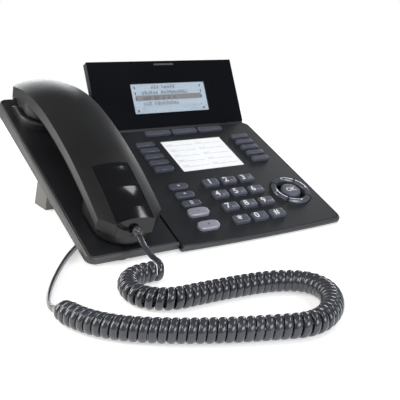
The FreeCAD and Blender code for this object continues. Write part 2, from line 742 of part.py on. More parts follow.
def crown_section(half, low, side, crown):
    """A section face in the U, W plane at the peak: flat foot, straight sides, domed top."""
    def build(base):
        v = HANDSET_PEAK_V
        a = Vec(HANDSET_U - half, v, base + low)
        b = Vec(HANDSET_U + half, v, base + low)
        c = Vec(HANDSET_U + half, v, base + side)
        d = Vec(HANDSET_U - half, v, base + side)
        top = Vec(HANDSET_U, v, base + side + crown)
        edges = [
            Part.LineSegment(a, b).toShape(), Part.LineSegment(b, c).toShape(),
            Part.Arc(c, top, d).toShape(), Part.LineSegment(d, a).toShape(),
        ]
        return Part.Face(Part.Wire(edges))
    return build


def grip_section(half, low, high, corner):
    """A section face with round lower corners, for the lower shell's grip."""
    def build(base):
        v = HANDSET_PEAK_V
        turn = corner * (1 - math.sqrt(0.5))
        left = HANDSET_U - half
        right = HANDSET_U + half
        foot = base + low
        p = [
            Vec(left, v, base + high), Vec(left, v, foot + corner), Vec(left + turn, v, foot + turn),
            Vec(left + corner, v, foot), Vec(right - corner, v, foot), Vec(right - turn, v, foot + turn),
            Vec(right, v, foot + corner), Vec(right, v, base + high),
        ]
        edges = [
            Part.LineSegment(p[0], p[1]).toShape(), Part.Arc(p[1], p[2], p[3]).toShape(),
            Part.LineSegment(p[3], p[4]).toShape(), Part.Arc(p[4], p[5], p[6]).toShape(),
            Part.LineSegment(p[6], p[7]).toShape(), Part.LineSegment(p[7], p[0]).toShape(),
        ]
        return Part.Face(Part.Wire(edges))
    return build


def handset_plan(inset):
    """Upright block with the handset's plan, to trim its two ends: cut corners in front, round behind."""
    v0 = HANDSET_FRONT_V + inset
    v1 = HANDSET_BACK_V - inset
    half = HANDSET_WIDTH / 2 - inset
    cut_u, cut_v = FRONT_CHAMFER
    corners = [
        (-half, v0 + cut_v), (-half + cut_u, v0), (half - cut_u, v0), (half, v0 + cut_v),
        (half, v1), (-half, v1),
    ]
    points = [Vec(HANDSET_U + u, v, PAST_LOW) for u, v in corners]
    blank = Part.Face(Part.makePolygon(points + points[:1])).extrude(Vec(0, 0, PAST_TOP - PAST_LOW))
    back = [e for e in blank.Edges if upright_at(e, v1)]
    return blank.makeFillet(BACK_CORNER_R - inset, back)


def upright_at(edge, v):
    ends = edge.Vertexes
    if abs(ends[0].Z - ends[-1].Z) < 1e-6:
        return False
    return all(abs(end.Y - v) < 1e-6 for end in ends)


def across_handset(points):
    """A cutter with this side outline, wider than the handset."""
    return side_prism(points, HANDSET_U - HANDSET_WIDTH, HANDSET_U + HANDSET_WIDTH)


def front_slope(inset):
    """Everything behind the leaning front face of the mouthpiece."""
    lean = math.radians(FRONT_LEAN)
    foot = FRONT_FOOT_V + inset / math.sin(lean)
    low = (foot + PAST_LOW / math.tan(lean), PAST_LOW)
    high = (foot + PAST_TOP / math.tan(lean), PAST_TOP)
    return across_handset([low, high, (PAST_BACK, PAST_TOP), (PAST_BACK, PAST_LOW)])


def over_lip(back, low):
    """The space over the lower shell's lip, where the upper shell's front reaches down."""
    return across_handset([(PAST_LOW, low), (back, low), (back, PAST_TOP), (PAST_LOW, PAST_TOP)])


def upper_outer(inset):
    seam = SEAM_GAP if inset == 0.0 else -SHELL_WALL
    half = HANDSET_WIDTH / 2 - inset
    side = SIDE_HEIGHT - inset * 0.5
    crown = CROWN - inset * 0.5
    shell = arch(crown_section(half, seam, side, crown))
    front = arch(crown_section(half, -GRIP_DEPTH, side, crown))
    low = LIP_HEIGHT + SEAM_GAP if inset == 0.0 else LIP_HEIGHT - SHELL_WALL
    back = LIP_BACK_V if inset == 0.0 else LIP_BACK_V + 1.0
    front = front.common(over_lip(back, low))
    return merge([shell, front]).common(handset_plan(inset)).common(front_slope(inset))


def insert_zone(grow):
    half = INSERT_WIDTH / 2 + grow
    v1 = INSERT_BACK_V + grow
    return box(HANDSET_U - half, HANDSET_U + half, PAST_LOW, v1, 0.0, PAST_TOP)


def make_handset_upper():
    skin = upper_outer(0.0)
    core = upper_outer(INSERT_THICK + INSERT_GAP)
    recess = insert_zone(INSERT_GAP).cut(core)
    inner = upper_outer(INSERT_THICK + INSERT_GAP + SHELL_WALL)
    return skin.cut([recess, inner]).removeSplitter()


def make_mouth_insert():
    """Glossy cover of the mouthpiece with two shallow waves across it."""
    skin = upper_outer(0.0).common(insert_zone(0.0))
    plate = skin.cut(upper_outer(INSERT_THICK))
    half = HANDSET_WIDTH / 2
    dome_r = (half ** 2 + CROWN ** 2) / (2 * CROWN)
    axis_up = FRONT_ARC_R + SIDE_HEIGHT + CROWN - dome_r
    for centre_v in WAVE_V:
        lean = math.asin((centre_v - HANDSET_PEAK_V) / FRONT_ARC_R)
        v = HANDSET_PEAK_V + axis_up * math.sin(lean)
        w = HANDSET_PEAK_W - FRONT_ARC_R + axis_up * math.cos(lean)
        along_handset = Vec(0, math.cos(lean), -math.sin(lean))
        ring_r = dome_r + WAVE_R - WAVE_DEEP
        plate = plate.cut(Part.makeTorus(ring_r, WAVE_R, Vec(HANDSET_U, v, w), along_handset))
    return plate.removeSplitter()


def ear_block(grow, w0, w1):
    half = HANDSET_WIDTH / 2 - SHELL_REVEAL + grow
    block = box(HANDSET_U - half, HANDSET_U + half, EAR_FRONT_V - grow, EAR_BACK_V + grow, w0, w1)
    return upright(block, EAR_CORNER_R + grow)


def end_block(v0, v1, low, half, corner, inset):
    """A round-cornered block hanging under one end of the handset."""
    reach = half - inset
    block = box(HANDSET_U - reach, HANDSET_U + reach, v0 + inset, v1 - inset, low + inset, END_TOP_W)
    block = upright(block, corner - inset)
    return block.makeFillet(END_FOOT_R - inset, level_edges(block, low + inset))


def lower_outer(inset):
    """Grip band with the mouthpiece and ear ends hanging under it, below the seam."""
    half = HANDSET_WIDTH / 2 - SHELL_REVEAL
    band = arch(grip_section(half - inset, -GRIP_DEPTH + inset, 0.0, GRIP_R - inset))
    behind_lip = LIP_BACK_V + inset
    band = band.common(handset_plan(inset)).common(across_handset([
        (behind_lip, PAST_LOW), (behind_lip, PAST_TOP), (PAST_BACK, PAST_TOP), (PAST_BACK, PAST_LOW)]))
    under = arch(grip_section(HANDSET_WIDTH, -PAST_TOP, 0.0, GRIP_R))
    mouth_back = MOUTH_BACK_V + MOUTH_SLOPE_LENGTH
    mouth = end_block(MOUTH_FRONT_V, mouth_back, REST_GAP, half - MOUTH_INSET, MOUTH_CORNER_R, inset)
    foot = MOUTH_BACK_V - END_FOOT_R - inset * math.sqrt(2.0)
    cut_back = across_handset([
        (foot + PAST_LOW, PAST_LOW), (foot + END_TOP_W, END_TOP_W),
        (PAST_BACK, END_TOP_W), (PAST_BACK, PAST_LOW)])
    mouth = mouth.cut(cut_back).common(under)
    ear = end_block(EAR_FRONT_V, EAR_BACK_V, EAR_BOTTOM_W, half, EAR_CORNER_R, inset).common(under)
    whole = merge([band.common(above_cradle(inset)), mouth, ear])
    return whole.cut(over_lip(LIP_BACK_V + SEAM_GAP + inset, LIP_HEIGHT - inset))


def above_cradle(inset):
    """The space that the lower shell may fill: over the plate, and over the dish at the ear end."""
    plate = REST_GAP + inset
    dish = EAR_BOTTOM_W + inset
    middle = HANDSET_PEAK_V
    return across_handset([
        (PAST_LOW, plate), (middle, plate), (middle, dish), (PAST_BACK, dish),
        (PAST_BACK, PAST_TOP), (PAST_LOW, PAST_TOP)])


def ear_holes():
    centre_v = (EAR_FRONT_V + EAR_BACK_V) / 2
    top = EAR_BOTTOM_W + SHELL_WALL + 1
    holes = [disc((HANDSET_U, centre_v), EAR_HOLE_R, 0.0, top)]
    for step in range(EAR_HOLES):
        turn = 2 * math.pi * step / EAR_HOLES
        place = (HANDSET_U + EAR_HOLE_RING * math.cos(turn), centre_v + EAR_HOLE_RING * math.sin(turn))
        holes.append(disc(place, EAR_HOLE_R, 0.0, top))
    return holes


def mouth_holes():
    top = REST_GAP + SHELL_WALL + 1
    return [disc((HANDSET_U + step * MIC_HOLE_PITCH, MIC_V), MIC_HOLE_R, 0.0, top) for step in (-1, 0, 1)]


def make_handset_lower():
    shell = lower_outer(0.0).cut(lower_outer(SHELL_WALL))
    return shell.cut(ear_holes() + mouth_holes()).removeSplitter()


def make_earpiece():
    centre = (HANDSET_U, (EAR_FRONT_V + EAR_BACK_V) / 2)
    low = EAR_BOTTOM_W + SHELL_WALL
    rim, magnet = EAR_SPEAKER_R
    cone = disc(centre, rim, low, low + EAR_SPEAKER_H)
    return merge([cone, disc(centre, magnet, low, low + 2 * EAR_SPEAKER_H)])


def make_microphone():
    low = REST_GAP + SHELL_WALL
    return disc((HANDSET_U, MIC_V), MIC_R, low, low + MIC_HEIGHT)


def make_grommet():
    """Ball-ended strain relief on the mouthpiece's front face, with a flat foot for the cord."""
    v, w = GROMMET_AT
    ball = Part.makeSphere(GROMMET_BALL_R, Vec(HANDSET_U, v, w))
    inward = Vec(0, 1.0, -0.5)
    neck = Part.makeCone(*GROMMET_NECK, Vec(HANDSET_U, v, w), inward)
    solid = merge([ball, neck]).cut(front_slope(0.0))
    foot = grommet_foot()
    return solid.cut(foot)


def grommet_foot():
    """A block that cuts the ball flat where the cord leaves it."""
    start = Vec(*HANDSET_LEAD[0])
    heading = Vec(*HANDSET_LEAD[1]).sub(start).normalize()
    size = 3 * GROMMET_BALL_R
    block = Part.makeBox(size, size, size, Vec(-size / 2, -size / 2, 0))
    block.Placement = FreeCAD.Placement(
        start.sub(heading * CORD_JOINT_GAP), FreeCAD.Rotation(Vec(0, 0, 1), heading))
    block.translate(Vec(0, 0, -FRONT_HEIGHT))
    block.rotate(Vec(0, 0, 0), Vec(1, 0, 0), -PLATE_TILT)
    return block


# ---- Hook switch, sockets, stand and small pieces --------------------------

def make_hook_switch():
    top = EAR_BOTTOM_W - 0.3
    stem = hook_hole(0.0, -PLATE_THICK - HOOK_RISE - 1.4, top)
    stem = stem.makeFillet(0.8, level_edges(stem, top))
    flange = hook_hole(1.6, -PLATE_THICK - HOOK_RISE - 1.4, -PLATE_THICK - HOOK_RISE - 0.2)
    return merge([stem, flange])


def make_sockets():
    """The handset cord's socket in the underside and the network socket on the back wall."""
    below = cord_socket_block(0.0)
    cord = cord_socket_block(SOCKET_WALL).cut(below)
    cord = cord.common(side_prism(belly_profile(0.0, True), -BELLY_HALF, GROOVE_U))
    mouth = line_socket_block(0.0)
    past_wall = mouth.copy()
    past_wall.translate(Vec(0, LINE_SOCKET[2] / 2 * COS_TILT, -LINE_SOCKET[2] / 2 * SIN_TILT))
    line = line_socket_block(SOCKET_WALL).cut([mouth, past_wall])
    behind_wall = box(-HALF, HALF, 0.0, BELLY_BACK, -80.0, 0.0)
    return Part.makeCompound([cord, line.common(behind_wall)])


def make_speaker():
    u, v = SPEAKER_AT
    low = belly_level(v) + WALL + SPEAKER_LIFT
    cone, magnet = SPEAKER_HEIGHTS
    basket = disc((u, v), SPEAKER_R, low, low + cone)
    return merge([basket, disc((u, v), SPEAKER_MAGNET_R, low + cone, low + cone + magnet)])


def make_rubber_feet():
    """Two round feet under the front edge, drawn in the part frame."""
    across, back = FOOT_AT
    feet = []
    for side in (-1, 1):
        foot = Part.makeCylinder(FOOT_R, BELLY_CLEAR, Vec(side * across, FRONT_Y + back, 0))
        feet.append(foot.makeChamfer(0.5, level_edges(foot, 0.0)))
    return Part.makeCompound(feet)


def make_housing_screws():
    screws = []
    for u, v, low in screw_places():
        head_low = low + SCREW_SINK
        head_top = head_low + SCREW_HEAD_H
        head = disc((u, v), SCREW_HEAD_R, head_low, head_top)
        half_slot = DRIVE_WIDTH / 2
        depth = head_low + DRIVE_DEPTH
        slot = box(u - SCREW_HEAD_R, u + SCREW_HEAD_R, v - half_slot, v + half_slot, head_low - 1, depth)
        cross = box(u - half_slot, u + half_slot, v - SCREW_HEAD_R, v + SCREW_HEAD_R, head_low - 1, depth)
        drive = merge([slot, cross]).common(disc((u, v), DRIVE_R, head_low - 1, depth))
        shank = disc((u, v), SCREW_SHANK_R, head_top, -PLATE_THICK)
        screws.append(merge([head.cut(drive), shank]))
    return Part.makeCompound(screws)


def desk_prism(points, x0, x1):
    """Extrude an outline of (Y behind the front edge, Z) points along X, in the part frame."""
    corners = [Vec(x0, y + FRONT_Y, z) for y, z in points]
    face = Part.Face(Part.makePolygon(corners + corners[:1]))
    return face.extrude(Vec(x1 - x0, 0, 0))


def belly_line(y):
    """Height of the belly's underside at a distance behind the front edge."""
    slope = math.tan(math.radians(PLATE_TILT - BELLY_SLOPE))
    start_y = BELLY_FLAT_END * COS_TILT - belly_level(BELLY_FLAT_END) * SIN_TILT
    return BELLY_CLEAR + (y - start_y) * slope


def make_stand():
    """Two flat legs joined by a bar along the desk, turning on pins in the belly's lugs."""
    half = STAND_SPAN / 2
    pivot_y, pivot_z = STAND_PIVOT
    top_y = pivot_y + STAND_TOP_REACH
    leg_outline = [
        (STAND_FRONT_Y, 0.0), (STAND_BACK_Y, 0.0), (top_y, belly_line(top_y) - STAND_TOP_GAP),
        (pivot_y, pivot_z + STAND_KNUCKLE_R * 0.85), (pivot_y - STAND_KNUCKLE_R * 0.92, pivot_z - 1.6),
    ]
    pieces = []
    for side in (-1, 1):
        x0 = min(side * half, side * (half - STAND_LEG_THICK))
        leg = desk_prism(leg_outline, x0, x0 + STAND_LEG_THICK)
        knuckle = Part.makeCylinder(STAND_KNUCKLE_R, STAND_LEG_THICK,
                                    Vec(x0, pivot_y + FRONT_Y, pivot_z), Vec(1, 0, 0))
        reach = half - STAND_LEG_THICK - LUG_GAP - LUG_WIDTH + 0.5
        pin_x = min(side * (half - 1.0), side * reach)
        pin = Part.makeCylinder(PIN_R, half - 1.0 - reach, Vec(pin_x, pivot_y + FRONT_Y, pivot_z), Vec(1, 0, 0))
        pieces += [leg, knuckle, pin]
    bar_front = STAND_FRONT_Y - STAND_BAR / 2
    slant = (STAND_BACK_Y - top_y) / (belly_line(top_y) - STAND_TOP_GAP)
    bar = [
        (STAND_FRONT_Y, 0.0), (STAND_BACK_Y, 0.0), (STAND_BACK_Y - slant * STAND_BAR, STAND_BAR),
        (bar_front, STAND_BAR),
    ]
    pieces.append(desk_prism(bar, -half, half))
    return merge(pieces)


# ---- Cord ------------------------------------------------------------------

def route_point(point):
    """A chosen route point in the part frame."""
    x, back, z = point
    return Vec(x, back + FRONT_Y, z)


def route_wire(points):
    """Straight runs joined by tangent arcs, with each arc as large as its two runs allow."""
    corners = [route_point(p) for p in points]
    edges = []
    radii = []
    here = corners[0]
    for before, corner, after in zip(corners, corners[1:], corners[2:]):
        back = before.sub(corner)
        ahead = after.sub(corner)
        reach = 0.45 * min(back.Length, ahead.Length)
        turn = math.pi - back.getAngle(ahead)
        radii.append(reach / math.tan(turn / 2))
        back.normalize()
        ahead.normalize()
        start = corner.add(back * reach)
        end = corner.add(ahead * reach)
        bisector = back.add(ahead).normalize()
        middle = corner.add(bisector * (reach / math.sin(turn / 2) - radii[-1]))
        edges.append(Part.LineSegment(here, start).toShape())
        edges.append(Part.Arc(start, middle, end).toShape())
        here = end
    edges.append(Part.LineSegment(here, corners[-1]).toShape())
    return Part.Wire(edges), radii


def tube(name, points, diameter):
    wire, radii = route_wire(points)
    start = route_point(points[0])
    ring = Part.Wire(Part.makeCircle(diameter / 2, start, route_point(points[1]).sub(start)))
    solid = wire.makePipeShell([ring], True, False)
    expected = math.pi * diameter ** 2 / 4 * wire.Length
    print(name, "length", round(wire.Length, 1), "radii", [round(radius, 1) for radius in radii])
    print(name, "volume", round(solid.Volume), "section times length", round(expected))
    return solid


def make_plug():
    """Modular plug standing in the handset cord's socket, with its latch arm on its front."""
    u, back = CORD_SOCKET_AT
    wide, thick, deep = CORD_SOCKET
    low = BASE_LEAD[-1][2]
    high = belly_line(back) + deep - PLUG_GAP
    arm_wide, arm_long, arm_thick = PLUG_ARM
    y = back + FRONT_Y
    front = y - thick / 2 + PLUG_GAP
    body = Part.makeBox(wide - 2 * PLUG_GAP, thick - 2 * PLUG_GAP - arm_thick, high - low,
                        Vec(u - wide / 2 + PLUG_GAP, front + arm_thick, low))
    arm = Part.makeBox(arm_wide, arm_thick, arm_long, Vec(u - arm_wide / 2, front, high - arm_long))
    return merge([body, arm])


def main():
    os.makedirs("parts", exist_ok=True)
    write("lower_housing", on_desk(make_lower_housing()))
    write("cradle_housing", on_desk(make_cradle_housing()))
    write("key_plate", on_desk(make_key_plate()))
    write("key_mat", on_desk(make_key_mat()))
    write("circuit_board", on_desk(make_circuit_board()))
    card_low = -CARD_POCKET
    write("directory_card", on_desk(pad(CARD_CENTRE, CARD_SIZE, card_low, card_low + CARD_THICK, 0.6)))
    window_low = card_low + CARD_THICK + 0.05
    write("card_window", on_desk(pad(CARD_CENTRE, CARD_SIZE, window_low, window_low + WINDOW_THICK, 0.9)))
    for name, centre, size, rise, corner in key_list():
        write(name, on_desk(make_key(centre, size, rise, corner)))
    write("nav_ring", on_desk(make_nav_ring()))
    write("ok_key", on_desk(make_ok_key()))
    write("flap_cover", on_desk(from_flap(make_flap_cover())))
    write("flap_front_panel", on_desk(from_flap(make_front_panel())))
    write("screen_module", on_desk(from_flap(make_screen_module())))
    write("screen_lens", on_desk(from_flap(make_screen_lens())))
    write("message_lamp", on_desk(from_flap(make_message_lamp())))
    write("handset_lower_shell", on_desk(make_handset_lower()))
    write("handset_upper_shell", on_desk(make_handset_upper()))
    write("mouthpiece_insert", on_desk(make_mouth_insert()))
    write("earpiece_speaker", on_desk(make_earpiece()))
    write("microphone", on_desk(make_microphone()))
    write("cord_grommet", on_desk(make_grommet()))
    write("hook_switch", on_desk(make_hook_switch()))
    write("sockets", on_desk(make_sockets()))
    write("base_speaker", on_desk(make_speaker()))
    write("housing_screws", on_desk(make_housing_screws()))
    write("rubber_feet", make_rubber_feet())
    write("stand_foot", make_stand())
    write("cord_handset_lead", tube("cord_handset_lead", HANDSET_LEAD, LEAD_D))
    write("cord_coil", tube("cord_coil", COIL_ROUTE, COIL_D))
    write("cord_base_lead", tube("cord_base_lead", BASE_LEAD, LEAD_D))
    write("cord_plug", make_plug())


main()
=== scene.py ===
"""Desk telephone with a sloping keypad, a tilting display flap and a handset on a curly cord."""
import bpy
import bmesh
import math
import random
from mathutils import Matrix, Vector


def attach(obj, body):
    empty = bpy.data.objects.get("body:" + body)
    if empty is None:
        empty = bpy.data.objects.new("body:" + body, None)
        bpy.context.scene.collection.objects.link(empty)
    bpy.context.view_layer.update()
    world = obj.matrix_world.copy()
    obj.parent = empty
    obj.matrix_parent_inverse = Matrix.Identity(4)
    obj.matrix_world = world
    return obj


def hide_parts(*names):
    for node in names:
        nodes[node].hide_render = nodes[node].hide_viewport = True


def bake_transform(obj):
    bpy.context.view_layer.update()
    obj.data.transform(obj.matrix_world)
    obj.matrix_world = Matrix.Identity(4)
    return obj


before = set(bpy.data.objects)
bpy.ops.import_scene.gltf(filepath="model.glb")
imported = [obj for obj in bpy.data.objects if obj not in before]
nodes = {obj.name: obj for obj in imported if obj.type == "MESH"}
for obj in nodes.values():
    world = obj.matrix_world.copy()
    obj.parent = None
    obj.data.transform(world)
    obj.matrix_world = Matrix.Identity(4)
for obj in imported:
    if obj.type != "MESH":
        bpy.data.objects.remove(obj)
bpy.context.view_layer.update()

# ---------- Camera, floor and studio light
# The phone stands on a pale table in a bright room, seen from the front left
# and a little above. Soft windows at the left, back, right and front, a strip
# overhead and a small warm one light it without hard shadows.
camera = bpy.data.objects.new("camera", bpy.data.cameras.new("camera"))
camera.data.lens = 59.0
camera.data.sensor_width = 36.0
camera.data.clip_start = 0.01
camera.location = (-0.2666, -0.4843, 0.1493)
camera_pitch = math.radians(76.13)
camera_heading = math.radians(-31.91)
camera.rotation_euler = (camera_pitch, 0.0, camera_heading)
bpy.context.scene.collection.objects.link(camera)
bpy.context.scene.camera = camera
bpy.context.scene.view_settings.view_transform = "Standard"

floor_mesh = bpy.data.meshes.new("table_top")
table_half_width = 1.1
table_front, table_back = -1.1, 0.75
table_corners = [(-table_half_width, table_front, 0), (table_half_width, table_front, 0),
                 (table_half_width, table_back, 0), (-table_half_width, table_back, 0)]
floor_mesh.from_pydata(table_corners, [], [(0, 1, 2, 3)])
table_top = bpy.data.objects.new("table_top", floor_mesh)
bpy.context.scene.collection.objects.link(table_top)
white_table = bpy.data.materials.new("white_table")
white_table.use_nodes = True
table_shader = white_table.node_tree.nodes["Principled BSDF"]
table_shader.inputs["Base Color"].default_value = (0.86, 0.86, 0.86, 1)
table_shader.inputs["Roughness"].default_value = 0.7
table_shader.inputs["Specular IOR Level"].default_value = 0.1
table_shader.inputs["Emission Color"].default_value = (1, 1, 1, 1)
table_shader.inputs["Emission Strength"].default_value = 0.5
floor_mesh.materials.append(white_table)

studio = bpy.data.worlds.new("studio")
bpy.context.scene.world = studio
studio.use_nodes = True
room = studio.node_tree.nodes["Background"]
room.inputs["Color"].default_value = (0.95, 0.97, 1.0, 1)
room.inputs["Strength"].default_value = 0.16
backdrop = studio.node_tree.nodes.new("ShaderNodeBackground")
backdrop.inputs["Color"].default_value = (1, 1, 1, 1)
backdrop.inputs["Strength"].default_value = 1.0
seen = studio.node_tree.nodes.new("ShaderNodeLightPath")
either = studio.node_tree.nodes.new("ShaderNodeMixShader")
studio.node_tree.links.new(seen.outputs["Is Camera Ray"], either.inputs["Fac"])
studio.node_tree.links.new(room.outputs["Background"], either.inputs[1])
studio.node_tree.links.new(backdrop.outputs["Background"], either.inputs[2])
studio.node_tree.links.new(either.outputs["Shader"], studio.node_tree.nodes["World Output"].inputs["Surface"])


def soft_window(name, place, aim, size, power, colour):
    """A rectangular soft light at a place, turned towards an aim."""
    lamp = bpy.data.lights.new(name, "AREA")
    lamp.shape = "RECTANGLE"
    lamp.size, lamp.size_y = size
    lamp.energy = power
    lamp.color = colour
    holder = bpy.data.objects.new(name, lamp)
    holder.location = place
    holder.rotation_euler = (Vector(aim) - Vector(place)).to_track_quat("-Z", "Y").to_euler()
    bpy.context.scene.collection.objects.link(holder)


soft_window("left_window", (-0.95, 0.25, 0.55), (-0.05, 0, 0.05), (0.5, 0.8), 9.0, (1.0, 0.95, 0.88))
soft_window("back_window", (-0.1, 1.5, 0.5), (0, 0, 0.08), (1.6, 0.35), 9.0, (0.96, 0.98, 1.0))
soft_window("strip_window", (0.54, -0.45, 1.0), (-0.05, -0.06, 0.04), (0.6, 0.2), 2.8, (0.96, 0.98, 1.0))
soft_window("front_card", (0.05, -1.25, 0.55), (0, -0.1, 0.02), (0.9, 0.5), 8.5, (0.92, 0.96, 1.0))
soft_window("right_window", (1.15, 0.72, 0.6), (0.05, 0, 0.03), (0.4, 0.4), 3.0, (0.98, 0.98, 1.0))
soft_window("warm_window", (-0.55, -0.5, 0.75), (-0.1, -0.1, 0.04), (0.3, 0.3), 1.2, (1.0, 0.92, 0.78))

# ---------- Curly handset cord
# A flat-oval four-wire cord in glossy dark PVC, wound into a tight coil with a
# straight lead at each end. One lead comes out of the handset's ball joint,
# the other goes round the left side to a modular plug under the body.
cord_wide = 0.0046
cord_thick = 0.0026
coil_radius = 0.0054
handset_lead_route = [
    (-0.0770, -0.1026, 0.0189), (-0.0773, -0.1068, 0.0162), (-0.0779, -0.1130, 0.0140),
    (-0.0788, -0.1206, 0.0124), (-0.0798, -0.1275, 0.0116), (-0.0809, -0.1333, 0.0124),
    (-0.0818, -0.1387, 0.0124)]
coil_route = [
    (-0.0818, -0.1387, 0.0070), (-0.0990, -0.1363, 0.0070), (-0.1115, -0.1523, 0.0070),
    (-0.1120, -0.1723, 0.0070), (-0.0995, -0.1843, 0.0070), (-0.0790, -0.1850, 0.0070),
    (-0.0535, -0.1872, 0.0070), (-0.0305, -0.1913, 0.0070), (-0.0142, -0.2028, 0.0070),
    (-0.0148, -0.2223, 0.0070), (-0.0310, -0.2428, 0.0070), (-0.0520, -0.2518, 0.0070),
    (-0.0730, -0.2433, 0.0070), (-0.0955, -0.2333, 0.0070), (-0.1180, -0.2201, 0.0070),
    (-0.1385, -0.2043, 0.0070), (-0.1508, -0.1858, 0.0070), (-0.1556, -0.1663, 0.0070)]
base_lead_route = [
    (-0.1586, -0.1533, 0.0039), (-0.1538, -0.1363, 0.0025), (-0.1446, -0.1164, 0.0025),
    (-0.1324, -0.0948, 0.0025), (-0.1196, -0.0742, 0.0025), (-0.1074, -0.0574, 0.0025),
    (-0.0966, -0.0442, 0.0024), (-0.0884, -0.0344, 0.0044), (-0.0874, -0.0331, 0.0104)]


def spline_line(route):
    """Points along the smooth curve that has the route as its control points."""
    curve = bpy.data.curves.new("cord_route", "CURVE")
    curve.dimensions = "3D"
    curve.resolution_u = 24
    spline = curve.splines.new("NURBS")
    spline.points.add(len(route) - 1)
    for point, place in zip(spline.points, route):
        point.co = (*place, 1)
    spline.order_u = 3
    spline.use_endpoint_u = True
    holder = bpy.data.objects.new("cord_route", curve)
    line = [v.co.copy() for v in bpy.data.meshes.new_from_object(holder).vertices]
    bpy.data.objects.remove(holder)
    return line


def along(line):
    """Distance along a line at each of its points."""
    far = [0.0]
    for a, b in zip(line, line[1:]):
        far.append(far[-1] + (b - a).length)
    return far


def ease(t):
    t = max(0.0, min(1.0, t))
    return t * t * (3 - 2 * t)


lead_line = spline_line(handset_lead_route)
cord_axis = spline_line(coil_route + base_lead_route)
axis_far = along(cord_axis)
coil_end = Vector(coil_route[-1])
coil_to = axis_far[min(range(len(cord_axis)), key=lambda i: (cord_axis[i] - coil_end).length)]
bend_pitch, straight_pitch = 0.0052, 0.0048
pitch_change_start, pitch_change_length = 0.05, 0.03
count_step = 0.0005
samples_per_turn = 26
unwind_length = 0.008
lead_step = 0.0008


def pitch_at(far):
    """Spacing of the turns, looser near the handset."""
    share = ease((far - pitch_change_start) / pitch_change_length)
    return bend_pitch + (straight_pitch - bend_pitch) * share


raw_turns, far = 0.0, 0.0
while far < coil_to:
    raw_turns += count_step / pitch_at(far)
    far += count_step
turn_count = round(raw_turns) + 0.5
centres, thin_ways = [], []
for k, point in enumerate(lead_line[:-1]):
    run = (lead_line[k + 1] - lead_line[max(k - 1, 0)]).normalized()
    centres.append(point)
    thin_ways.append(run.cross(Vector((1, 0, 0))).normalized() * -1)
far, turn, i = 0.0, 0.0, 0
while far < axis_far[-1]:
    while axis_far[i + 1] < far:
        i += 1
    share = (far - axis_far[i]) / (axis_far[i + 1] - axis_far[i])
    middle = cord_axis[i].lerp(cord_axis[i + 1], share)
    before = cord_axis[max(i - 6, 0)]
    after = cord_axis[min(i + 7, len(cord_axis) - 1)]
    heading = (after - before).normalized()
    aside = heading.cross(Vector((0, 0, 1))).normalized()
    up = aside.cross(heading)
    opening = ease((coil_to + 0.010 - far) / 0.014)
    angle = -2 * math.pi * turn
    outward = up * math.cos(angle) + aside * math.sin(angle)
    centres.append(middle + outward * coil_radius * opening)
    thin_ways.append(outward)
    spin = ease((coil_to + unwind_length - far) / unwind_length)
    step = pitch_at(far) / samples_per_turn if spin > 0 else lead_step
    turn += spin * step / pitch_at(far) * turn_count / raw_turns
    far += step
centres.append(cord_axis[-1].copy())
thin_ways.append(thin_ways[-1])


def oval_tube(name, line, thin, sides=12):
    """A closed tube of the cord's flat-oval section, with its turn and length in a UV map."""
    mesh = bmesh.new()
    uv = mesh.loops.layers.uv.new("along")
    far = along(line)
    rings = []
    for k, point in enumerate(line):
        heading = (line[min(k + 1, len(line) - 1)] - line[max(k - 1, 0)]).normalized()
        wide = heading.cross(thin[k]).normalized()
        flat = wide.cross(heading)
        ring = []
        for s in range(sides):
            a = 2 * math.pi * s / sides
            offset = flat * (cord_thick / 2 * math.cos(a)) + wide * (cord_wide / 2 * math.sin(a))
            ring.append(mesh.verts.new(point + offset))
        rings.append(ring)
    for k, (ring, following) in enumerate(zip(rings, rings[1:])):
        for s in range(sides):
            t = (s + 1) % sides
            face = mesh.faces.new((ring[s], ring[t], following[t], following[s]))
            corners = ((s, far[k]), (s + 1, far[k]), (s + 1, far[k + 1]), (s, far[k + 1]))
            for loop, (x, y) in zip(face.loops, corners):
                loop[uv].uv = (x / sides, y * 100)
    mesh.faces.new(rings[0][::-1])
    mesh.faces.new(rings[-1])
    bmesh.ops.recalc_face_normals(mesh, faces=mesh.faces)
    made = bpy.data.meshes.new(name)
    mesh.to_mesh(made)
    mesh.free()
    made.shade_smooth()
    piece = bpy.data.objects.new(name, made)
    bpy.context.scene.collection.objects.link(piece)
    return piece


